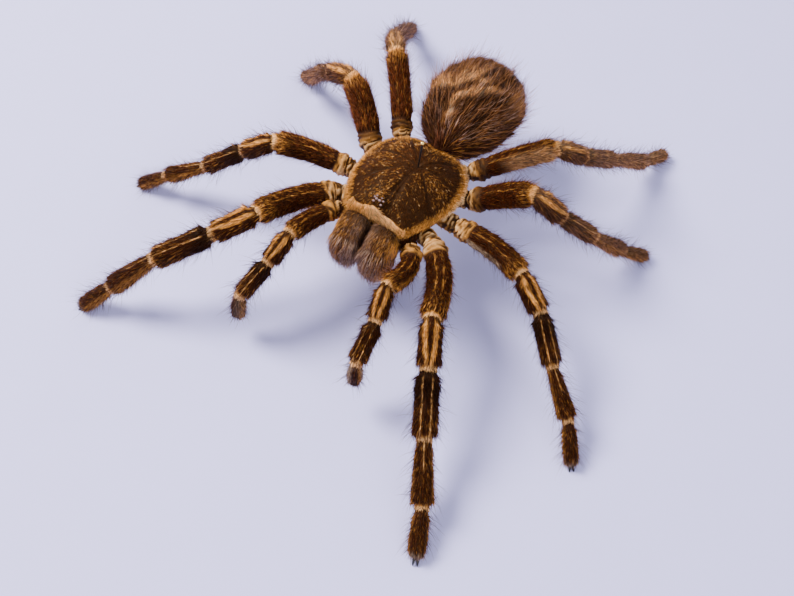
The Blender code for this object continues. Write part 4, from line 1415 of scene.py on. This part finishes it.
def prosoma_marks(level, roll, random=None):
    """Gold flecks in streaks over the dark dome, and a gold and cream fringe."""
    point = Prosoma().surface(level, roll)
    x, y = point[:, 0], point[:, 1]
    marks = marks_of(len(level))
    gold, cream, black, _ = marks.T
    angle = np.degrees(np.arctan2(x - PIT[0], PIT[1] - y))
    reach = np.hypot(x - PIT[0], y - PIT[1])
    streak = soft_noise(np.stack([angle * 0.25, reach * 0.5, level * 0.0], -1), 1.0, 21)
    share = 0.21 + 0.2 * streak + 0.3 * soft_noise(point, 0.8, 23) + 0.2 * soft_noise(point, 4.5, 22)
    grooves = groove(x, y, np.clip(level, 0, 1))
    share -= 0.3 * grooves + 0.3 * bump(reach, 4.0)
    for *place, patch_reach, change in CARAPACE_PATCHES:
        share += change * over(x, y, place, patch_reach)
    share += 0.3 * over(x, y, EYE_MOUND, 3.0)
    flecks = flecks_of(random, len(level))
    dome = level <= 1.0
    gold[:] = np.where(dome & (flecks < 0.75 * share), 0.25 + 1.2 * flecks, 0.02)
    cream[:] = np.where(dome & (flecks < share * 0.07), 0.6, 0.0)
    fringe = rise(level + 0.03 * soft_noise(point, 1.3, 24), 0.87, 0.99) * band(level - 0.98, 0.15, 0.06)
    at_least(gold, (flecks < fringe) * (0.45 + 0.5 * flecks))
    pale = 0.15 + 0.85 * rise(roll, 55.0, 78.0) * rise(165.0 - roll, 0.0, 30.0)
    below = band(level - 1.42, 0.3, 0.14) * (1.0 - 0.8 * band(roll - 56.0, 18.0, 14.0))
    at_least(cream, below * pale)
    at_least(gold, below * (0.45 + 0.35 * pale))
    black[:] = np.maximum(0.5 * grooves * dome, 0.6 * rise(level, 2.0, 2.6))
    return marks


EYES = (  # one side's: how far across and back from the mound's middle, and the radius
    (0.55, -0.2, 0.46),
    (1.3, -0.7, 0.42),
    (1.5, 0.35, 0.36),
    (0.85, 0.7, 0.3),
)
EYE_SQUASH = (1.0, 0.85, 0.8)
EYE_RISE = 0.55  # of its radius, above the skin


class OBJECT_OT_tarantula_carapace(bpy.types.Operator):
    """Adds the carapace with its fur, fringe, comb and eyes, and the sternum below"""

    bl_idname = "object.tarantula_carapace"
    bl_label = "Carapace"

    def execute(self, context):
        settings, colours = context.scene.tarantula_fur, context.scene.tarantula_colours
        skin = skin_material("carapace_skin", shaded(colours.carapace_brown, 0.5))
        hair = hair_material("carapace_hair", colours.carapace_brown, colours.leg_tip, tip_share=0.3)
        shape = Prosoma()
        body = wrapped_skin("prosoma_skin", shape, 128, 110, prosoma_marks)
        coat = carapace_fur(shape, settings.carapace_hairs, settings.length_scale)
        dress("prosoma", body, skin, coat, hair)
        self.add_eyes()
        return {"FINISHED"}

    def add_eyes(self):
        """Eight small glossy eyes on the mound."""
        eyes = []
        for side, (across, back, radius) in itertools.product((-1, 1), EYES):
            x, y = EYE_MOUND[0] + across * side, EYE_MOUND[1] + back
            share = math.hypot(x, y) / float(rim_reach(math.degrees(math.atan2(x, -y))))
            skin_height = float(carapace_height(np.array(x), np.array(y), share)) - CARAPACE_FUR_DEPTH
            middle = placed((x, y, skin_height + radius * EYE_RISE))
            deselect()
            bpy.ops.mesh.primitive_uv_sphere_add(
                segments=20, ring_count=12, radius=radius * MM, location=middle
            )
            bpy.ops.transform.resize(value=EYE_SQUASH)
            bpy.ops.object.transform_apply(location=True, rotation=True, scale=True)
            bpy.ops.object.shade_smooth()
            eyes.append(bpy.context.object)
        made = joined("eyes", eyes)
        made.data.uv_layers[0].name = "OFBake"
        tidy_piece(made, gloss_material("eye", (0.20, 0.115, 0.115), 0.3, coat=0.5), None)


FRINGE_SHARE, COMB_SHARE, STERNUM_SHARE = 0.42, 0.22, 0.14  # hairs, to one on the dome


def carapace_fur(shape, count, scale):
    """Short fur out from the pit, a fringe round the rim, a comb over the jaws, and fur below."""
    fur = Fur("prosoma_fur")
    add_dome_fur(fur, shape, count, scale)
    add_fringe(fur, shape, round(count * FRINGE_SHARE), scale)
    add_comb(fur, shape, round(count * COMB_SHARE), scale)
    add_sternum_fur(fur, shape, round(count * STERNUM_SHARE), scale)
    return fur.build()


def add_dome_fur(fur, shape, count, scale):
    """Short swirling fur that lies outwards from the pit."""
    random = fur.random
    level = np.sqrt(random.random(count)) * 0.985
    roll = around(random, count)
    marks = prosoma_marks(level, roll, random)
    point, _, out = places_on(shape, level, roll)
    flow = laid_flat((point - (PIT[0], PIT[1], 0.0)) * (1.0, 1.0, 0.0), out)
    swirl = 38.0 * soft_noise(point, 3.0, 31) + 32.0 * soft_noise(point, 1.0, 32)
    gold = marks[:, GOLD] > 0.2
    by_eyes = over(point[:, 0], point[:, 1], EYE_MOUND, 2.0)
    length = np.where(gold, 0.95, 0.85) * scale * (1.0 - 0.5 * by_eyes)
    tilt = np.where(gold, 16.0, 13.0)
    fur.stand(point, flow, out, marks, length=length, tilt=tilt, width=0.15, sway=18.0, yaw=swirl)


def add_fringe(fur, shape, count, scale):
    """Hair that stands out all round the rim."""
    random = fur.random
    level = 0.9 + 0.93 * random.random(count) ** 1.2
    roll = around(random, count)
    corner = band(roll - 58.0, 22.0, 20.0)
    marks = prosoma_marks(level, roll, random)
    point, _, out = places_on(shape, level, roll)
    turn = np.radians(roll)
    away = directions(np.sin(turn) * (1.0 - 0.6 * corner), -np.cos(turn) - 0.8 * corner, -0.3)
    length = (1.35 - 0.35 * corner - 0.35 * corner * rise(level, 1.1, 1.3)) * scale
    fur.stand(point, away, out, marks, length=length, tilt=7.0, width=0.17, sway=13.0, scatter=7.0)


def add_comb(fur, shape, count, scale):
    """The thick comb of pale hair that hangs over the jaws' bases, with some black bristles."""
    random = fur.random
    roll = random.uniform(-35.0, 32.0, count)
    start = comb_root(roll)
    level = start + (0.985 - start) * random.random(count)
    point, _, out = places_on(shape, level, roll)
    marks = marks_of(count, gold=1.0)
    cream = 0.6 - 0.5 * rise(-roll, 6.0, 22.0) - 0.4 * rise(roll, 16.0, 30.0)
    marks[:, CREAM] = np.clip(cream + random.normal(0.0, 0.3, count), 0, 1)
    sweep = np.interp(roll, (-40.0, -10.0, 30.0), (0.3, 0.8, 1.2))
    ahead = laid_flat(directions(sweep, -1.0, 0.0), out)
    swirl = 14.0 * soft_noise(point, 0.9, 33)
    length = np.interp(roll, (-35.0, 0.0, 15.0, 32.0), (2.3, 2.4, 2.1, 1.0)) * scale
    look = {"tilt": 20.0, "width": 0.15, "sway": 17.0, "scatter": 15.0, "yaw": swirl}
    fur.stand(point, ahead, out, marks, length=length, **look)

    few = count // 24
    roll = random.uniform(-36.0, 28.0, few)
    point, _, out = places_on(shape, random.uniform(0.9, 0.98, few), roll)
    ahead = laid_flat(directions(0.6, -1.0, 0.0), out)
    black = marks_of(few, black=0.8)
    fur.stand(point, ahead, out, black, length=2.9 * scale, tilt=18.0, width=0.13, sway=14.0)

    below = count // 3
    roll = random.uniform(-40.0, 45.0, below)
    point, _, out = places_on(shape, random.uniform(1.4, 2.3, below), roll)
    ahead = directions(0.01 * point[:, 0] + 0.5 * rise(roll, 30.0, 50.0), -1.0, -0.3)
    black = marks_of(below, black=0.7)
    fur.stand(point, ahead, out, black, length=4.2 * scale, tilt=8.0, width=0.2, sway=14.0, scatter=14.0)


def add_sternum_fur(fur, shape, count, scale):
    """Dark fur below the carapace and on the sternum."""
    level = fur.random.uniform(2.0, 4.9, count)
    roll = around(fur.random, count)
    fur.grow(shape, level, roll, prosoma_marks(level, roll), length=1.5 * scale, tilt=25.0, width=0.18)


def jaw_marks(tube, distance, roll, random=None):
    """Golden outer side, mauve grey inner side and tip, with black painted as shade where the jaws meet and
    at their bases.
    """
    marks = marks_of(len(distance))
    gold, cream, black, grey = marks.T
    point = tube.surface(distance, roll)
    across = np.abs(point[:, 0] - JAW_SHIFT)
    share = distance / tube.length
    flecks = flecks_of(random, len(distance))
    outer = rise(across + 0.9 * soft_noise(point, 1.6, 41), 3.5, 7.5)
    edge = rise(across, 8.6, 9.6)
    gold[:] = np.where(flecks < 0.24 + 0.25 * outer + 0.35 * edge, 0.3 + 0.5 * edge + 0.2 * outer, 0.0)
    inner = rise(5.0 - across + 0.9 * soft_noise(point, 1.2, 42), 0.0, 2.5)
    streaming = rise(share + 0.12 * inner, 0.45, 0.8)
    grey[:] = np.where(flecks > 0.85 - 0.22 * inner - 0.2 * streaming, 0.42 + 0.15 * streaming, 0.12 * inner)
    cream[:] = 0.35 * (flecks > 0.93) * streaming
    # Painted shade: black along the inner face where the two jaws meet, and at the bases under the comb.
    black[:] = np.maximum(0.85 * rise(1.6 - across, 0.0, 0.9), 0.6 * rise(0.16 - share, 0.0, 0.06))
    return marks


class OBJECT_OT_tarantula_jaws(bpy.types.Operator):
    """Adds the two jaws with their fur, and a fang under each"""

    bl_idname = "object.tarantula_jaws"
    bl_label = "Jaws and Fangs"

    def execute(self, context):
        settings, colours = context.scene.tarantula_fur, context.scene.tarantula_colours
        skin = skin_material("jaw_skin", shaded(colours.jaw_brown, 0.6))
        tip, mauve = (0.24, 0.10, 0.04), (0.44, 0.29, 0.22)
        hair = hair_material("jaw_hair", colours.jaw_brown, tip, tip_share=0.35, grey=mauve)
        horn = gloss_material("fang_horn", (0.014, 0.008, 0.007), 0.18, coat=0.6)
        for word, side in SIDES.items():
            name = f"chelicera_{word}"
            jaw = JawTube(JAW_PATH, side, JAW_FUR_DEPTH, JAW_INNER_FACE, JAW_SQUARENESS, JAW_NARROWING)
            body = wrapped_skin(f"{name}_skin", jaw, 64, 56, partial(jaw_marks, jaw))
            coat = self.jaw_fur(name, jaw, settings.jaw_hairs, settings.length_scale)
            dress(name, body, skin, coat, hair)
            fang = JawTube(FANG_PATH, side, 0.0)
            tidy_piece(wrapped_skin(f"fang_{word}_horn", fang, 24, 40), horn, f"fang_{word}")
        return {"FINISHED"}

    def jaw_fur(self, name, jaw, count, scale):
        """Fur over a jaw, and longer pale hair that streams down its lower part."""
        fur = Fur(f"{name}_fur")
        random = fur.random
        distance, roll = jaw.scatter(random, count)
        marks = jaw_marks(jaw, distance, roll, random)
        length = (1.7 + 1.4 * rise(distance / jaw.length, 0.35, 0.8)) * scale
        fur.grow(jaw, distance, roll, marks, length=length, tilt=12.0, width=0.17, sway=9.0)
        distance, roll = jaw.scatter(random, count // 5, lambda place: 1.0 * (place > jaw.length * 0.35))
        marks = jaw_marks(jaw, distance, roll, random) * (0.5, 1.0, 0.3, 1.0)
        at_least(marks[:, GREY], 0.6 * (random.random(len(distance)) < 0.45))
        length = (3.8 + 1.2 * rise(distance / jaw.length, 0.6, 0.9)) * scale
        look = {"tilt": 20.0, "width": 0.13, "sway": 12.0, "scatter": 8.0, "curl": 0.1}
        fur.grow(jaw, distance, roll, marks, length=length, **look)
        return fur.build()


# Matted tan hair on the abdomen: place, reach, how much
TAN_PATCHES = (
    ((-5.0, 42.0, 9.5), 4.0, 0.8),
    ((-11.5, 39.5, 6.5), 3.6, 0.8),
    ((0.2, 48.5, 8.5), 2.8, 0.8),
    ((12.0, 43.6, 2.0), 4.0, 0.9),
    ((-2.5, 29.5, 8.5), 1.8, 0.5),
    ((-13.0, 33.0, 3.0), 3.0, 0.3),
)
SHADED_HOLLOW = (6.2, 47.0, 6.8)  # the deepest hollow's floor, where black is painted as shade
SHADED_HOLLOW_REACH = 5.0
SWEPT_PLACE = (7.0, 30.0, 4.0)  # where the long hair leans to the right
SWEPT_REACH = 9.0


def in_shaded_hollow(point):
    """1 on the deepest hollow's floor, which is painted black as shade, 0 away from it."""
    return near(point, SHADED_HOLLOW, SHADED_HOLLOW_REACH)


def abdomen_marks(tube, distance, roll, random=None):
    """Tan matted folds, black painted as shade in the hollows, under the first fold and towards the
    underside, and reddish and pinkish hair.
    """
    point = tube.surface(distance, roll)
    marks = marks_of(len(distance))
    gold, cream, black, grey = marks.T
    flecks = flecks_of(random, len(distance))
    fold = np.maximum(tube.near_paths(point, FOLDS, 1.3), 0.9 * tube.near_paths(point, (LOW_FOLD,), 1.2))
    rough = soft_noise(point * (1.0, 0.5, 1.0), 1.3, 51)
    tan = fold.copy()
    for middle, reach, amount in TAN_PATCHES:
        at_least(tan, amount * near(point, middle, reach))
    # Painted shade: the deepest hollow's floor is made black, with no tan or gold.
    floor = in_shaded_hollow(point)
    tan = np.clip(tan + 0.35 * rough * (tan > 0.15), 0.0, 1.0) * (1.0 - floor)
    grey[:] = tan * (flecks < 0.85)
    # How sunken each place is, for black painted as shade in the hollows.
    sunk = np.zeros(len(distance))
    for middle, reach, depth in HOLLOWS:
        sunk += depth / 2.0 * near(point, middle, reach * 0.8)
    x, y, z = point.T
    # Painted shade: darker towards the underside.
    low = rise(-z, 1.0, 6.0)
    strands = (1.0 - tan) * rise(z, -1.0, 3.0)
    cream[:] = (flecks > 0.78) * strands * (0.9 - 0.55 * rise(-x, -1.0, 3.0)) * rise(y, 19.0, 25.0)
    gold[:] = (flecks < 0.16) * (1.0 - tan) * (0.35 + 0.4 * (x > 5.0))
    left = rise(-x - 0.15 * (y - 27.0), 1.5, 4.0) * rise(37.0 - y, 0.0, 4.0)
    # Black painted as shade in the hollows, under the first fold, towards the underside and on the deepest
    # hollow's floor; also darker at the front of the -X side and where the noise is high.
    dark = (2.7 * sunk + 0.9 * tube.near_paths(point, (UNDER_FOLD,), 1.5)) * (1.0 - 0.85 * fold)
    dark += 0.2 * low + 0.7 * left + 0.35 * rise(rough, 0.1, 0.6) * (1.0 - tan) + 2.5 * floor
    black[:] = np.clip(dark * np.where(flecks > 0.85 + 0.1 * floor, 0.2, 1.0), 0.0, 0.98)
    gold *= 1.0 - floor
    return marks


class OBJECT_OT_tarantula_abdomen(bpy.types.Operator):
    """Adds the dried abdomen with its long hair, and the two spinnerets"""

    bl_idname = "object.tarantula_abdomen"
    bl_label = "Abdomen"

    def execute(self, context):
        settings, colours = context.scene.tarantula_fur, context.scene.tarantula_colours
        skin = skin_material("abdomen_skin", shaded(colours.abdomen_brown, 0.5), depth=0.6)
        base, tip = colours.abdomen_brown, colours.abdomen_tip
        tan, mauve = (0.92, 0.41, 0.145), (0.70, 0.42, 0.33)
        hair = hair_material("abdomen_hair", base, tip, grey=tan, cream=mauve)
        tube = AbdomenTube()
        body = wrapped_skin("abdomen_skin", tube, 120, 110, partial(abdomen_marks, tube))
        coat = self.abdomen_fur(tube, settings.abdomen_hairs, settings.length_scale)
        dress("abdomen", body, skin, coat, hair)
        for word, side in SIDES.items():
            name = f"spinneret_{word}"
            tube = SpinneretTube(side)
            body = wrapped_skin(f"{name}_skin", tube, 20, 30)
            fur = Fur(f"{name}_fur")
            marks = marks_of(SPINNERET_HAIRS, grey=0.15)
            places = tube.scatter(fur.random, SPINNERET_HAIRS)
            fur.grow(tube, *places, marks, length=1.5, tilt=20.0, width=0.17)
            dress(name, body, skin, fur.build(), hair)
        return {"FINISHED"}

    def abdomen_fur(self, tube, count, scale):
        """A lower layer of hair, a longer one over it, and a few bristles."""
        fur = Fur("abdomen_fur")
        random = fur.random
        distance, roll = tube.scatter(random, round(count * 1.1))
        marks = abdomen_marks(tube, np.minimum(distance + 0.4, tube.length), roll, random)
        point = tube.surface(distance, roll)
        lean = 34.0 * soft_noise(point, 5.5, 62) + 16.0 * soft_noise(point, 1.6, 63)
        tan = marks[:, GREY]
        marks[:, BLACK] = np.clip(marks[:, BLACK] + 0.35 * (tan < 0.2), 0.0, 0.95)
        length = (2.5 - 0.9 * tan) * (1.0 - 0.5 * in_shaded_hollow(point)) * scale
        fur.grow(tube, distance, roll, marks, length=length, tilt=9.0, width=0.19, sway=9.0, yaw=lean)

        distance, roll = tube.scatter(random, round(count * 0.75))
        marks = abdomen_marks(tube, np.minimum(distance + 0.8, tube.length), roll, random)
        point = tube.surface(distance, roll)
        lean = 26.0 * soft_noise(point, 5.5, 62) + 12.0 * soft_noise(point * (1.0, 0.4, 1.0), 1.2, 64)
        lean -= 16.0 * near(point, SWEPT_PLACE, SWEPT_REACH)
        length = (4.8 - 3.1 * marks[:, GREY]) * (1.0 - 0.6 * in_shaded_hollow(point)) * scale
        fur.grow(tube, distance, roll, marks, length=length, tilt=9.0, width=0.15, sway=6.0, yaw=lean)

        places = tube.scatter(random, count // 9, lambda distance: 1.0 * (distance > 8.0))
        bristles = marks_of(count // 9, grey=0.2)
        look = {"tilt": 36.0, "width": 0.08, "sway": 14.0, "scatter": 12.0, "curl": 0.12}
        fur.grow(tube, *places, bristles, length=8.0 * scale, **look)
        return fur.build()


class OBJECT_OT_tarantula_pin(bpy.types.Operator):
    """Adds the black enamelled pin and its brass head"""

    bl_idname = "object.tarantula_pin"
    bl_label = "Pin"

    def execute(self, context):
        settings = context.scene.tarantula_pin
        self.add_shaft(settings.shaft_radius)
        self.add_head(settings.head_radius)
        return {"FINISHED"}

    def on_axis(self, height):
        """A place on the pin's axis, this far above the carapace, in millimetres of the body frame."""
        lean = math.radians(PIN_LEAN)
        return Vector(PIN_ENTRY) + Vector((0.0, math.sin(lean), math.cos(lean))) * height

    def stand_up(self, made, middle):
        """Leans a piece made upright at the origin, and moves it to its place on the axis."""
        made.rotation_euler = (-math.radians(PIN_LEAN), 0.0, 0.0)
        made.location = placed(middle)
        bpy.ops.object.transform_apply(location=True, rotation=True, scale=True)
        bpy.ops.object.shade_smooth_by_angle(angle=math.radians(40.0))
        made.data.uv_layers[0].name = "OFBake"

    def add_shaft(self, radius):
        half = (PIN_ABOVE + PIN_BELOW) * MM / 2
        deselect()
        bpy.ops.mesh.primitive_cylinder_add(vertices=24, radius=radius, depth=half * 2)
        made = named("pin_shaft")
        bpy.ops.object.mode_set(mode="EDIT")
        bpy.ops.mesh.select_all(action="SELECT")
        point_top = PIN_POINT_LENGTH * MM - half
        bpy.ops.mesh.bisect(plane_co=(0.0, 0.0, point_top), plane_no=(0.0, 0.0, 1.0))
        self.scale_end(made, point_top + 0.01 * MM, (PIN_POINT_SHARE, PIN_POINT_SHARE, 1.0))
        self.stand_up(made, self.on_axis((PIN_ABOVE - PIN_BELOW) / 2))
        tidy_piece(made, gloss_material("pin_enamel", (0.002, 0.002, 0.002), 0.45), "pin")

    def add_head(self, radius):
        deselect()
        bpy.ops.mesh.primitive_uv_sphere_add(segments=32, ring_count=20, radius=radius)
        made = named("pin_ball")
        self.scale_end(made, -PIN_HEAD_UNDERSIDE * radius, (1.0, 1.0, PIN_HEAD_FLATTENING))
        self.stand_up(made, self.on_axis(PIN_ABOVE))
        brass = gloss_material("pin_brass", (0.95, 0.68, 0.20), 0.25, metallic=1.0, amount=0.12)
        tidy_piece(made, brass, "pin_head")

    def scale_end(self, made, height, shares):
        """Scales the points of a piece that are below this height."""
        bpy.ops.object.mode_set(mode="EDIT")
        bpy.ops.mesh.select_mode(type="VERT")
        bpy.ops.mesh.select_all(action="DESELECT")
        bpy.ops.object.mode_set(mode="OBJECT")
        for vertex in made.data.vertices:
            vertex.select = vertex.co.z < height
        bpy.ops.object.mode_set(mode="EDIT")
        bpy.ops.transform.resize(value=shares)
        bpy.ops.object.mode_set(mode="OBJECT")


class OBJECT_OT_tarantula_stage(bpy.types.Operator):
    """Adds the pale floor, the studio lights and the camera"""

    bl_idname = "object.tarantula_stage"
    bl_label = "Stage"

    def execute(self, context):
        settings = context.scene.tarantula_stage
        self.add_floor(settings.floor_size, context.scene.tarantula_colours.floor)
        self.add_world()
        self.add_light("key", (-0.72, -0.12, 0.85), 0.55, settings.key_power, (1.0, 0.97, 0.93))
        self.add_light("fill", (0.75, -0.35, 0.75), 0.9, settings.fill_power, (0.95, 0.97, 1.0))
        self.add_light("back", (0.1, 0.95, 0.7), 0.8, settings.fill_power * 0.4, (0.95, 0.97, 1.0))
        self.add_camera()
        return {"FINISHED"}

    def add_floor(self, size, colour):
        deselect()
        bpy.ops.mesh.primitive_plane_add(size=size)
        floor = bpy.context.object
        floor.name = "floor"
        floor.data.materials.append(paper_material("floor_paper", colour))

    def add_world(self):
        world = bpy.data.worlds.new("studio")
        bpy.context.scene.world = world
        world.use_nodes = True
        backdrop = world.node_tree.nodes["Background"]
        backdrop.inputs["Color"].default_value = (0.86, 0.88, 1.0, 1.0)
        backdrop.inputs["Strength"].default_value = 0.4

    def add_light(self, name, place, size, power, colour):
        data = bpy.data.lights.new(name, "AREA")
        data.shape = "DISK"
        data.size = size
        data.energy = power
        data.color = colour
        light = bpy.data.objects.new(name, data)
        light.location = place
        light.rotation_euler = (Vector((0.0, 0.0, 0.02)) - Vector(place)).to_track_quat("-Z", "Y").to_euler()
        bpy.context.scene.collection.objects.link(light)

    def add_camera(self):
        data = bpy.data.cameras.new("camera")
        data.lens = CAMERA_LENS
        data.sensor_width = 36.0
        data.clip_start = 0.01
        camera = bpy.data.objects.new("camera", data)
        azimuth, elevation = math.radians(CAMERA_AZIMUTH), math.radians(CAMERA_ELEVATION)
        look = Vector((
            -math.sin(azimuth) * math.cos(elevation),
            math.cos(azimuth) * math.cos(elevation),
            -math.sin(elevation),
        ))
        camera.rotation_mode = "QUATERNION"
        level = look.to_track_quat("-Z", "Y")
        camera.rotation_quaternion = level @ Quaternion((0.0, 0.0, 1.0), math.radians(CAMERA_ROLL))
        camera.location = CAMERA_PLACE
        bpy.context.scene.collection.objects.link(camera)
        bpy.context.scene.camera = camera


class VIEW3D_PT_tarantula(bpy.types.Panel):
    """The tarantula's settings and pieces"""

    bl_label = "Pinned Tarantula"
    bl_idname = "VIEW3D_PT_tarantula"
    bl_space_type = "VIEW_3D"
    bl_region_type = "UI"
    bl_category = "Tarantula"

    def draw(self, context):
        for title, settings in SETTINGS.items():
            box = self.layout.box()
            box.label(text=title.replace("tarantula_", "").title())
            for name in settings.__annotations__:
                box.prop(getattr(context.scene, title), name)
        for operator in PIECES:
            self.layout.operator(operator.bl_idname)


SETTINGS = {
    "tarantula_colours": TarantulaColours,
    "tarantula_fur": TarantulaFur,
    "tarantula_pin": TarantulaPin,
    "tarantula_stage": TarantulaStage,
}
PIECES = (
    OBJECT_OT_tarantula_limbs,
    OBJECT_OT_tarantula_carapace,
    OBJECT_OT_tarantula_jaws,
    OBJECT_OT_tarantula_abdomen,
    OBJECT_OT_tarantula_pin,
    OBJECT_OT_tarantula_stage,
)


def register():
    for made in (*SETTINGS.values(), *PIECES, VIEW3D_PT_tarantula):
        bpy.utils.register_class(made)
    for name, settings in SETTINGS.items():
        setattr(bpy.types.Scene, name, bpy.props.PointerProperty(type=settings))


def unregister():
    for name in SETTINGS:
        delattr(bpy.types.Scene, name)
    for made in reversed((*SETTINGS.values(), *PIECES, VIEW3D_PT_tarantula)):
        bpy.utils.unregister_class(made)


def main():
    register()
    bpy.ops.object.tarantula_limbs()
    bpy.ops.object.tarantula_carapace()
    bpy.ops.object.tarantula_jaws()
    bpy.ops.object.tarantula_abdomen()
    bpy.ops.object.tarantula_pin()
    bpy.ops.object.tarantula_stage()


if __name__ == "__main__":
    main()
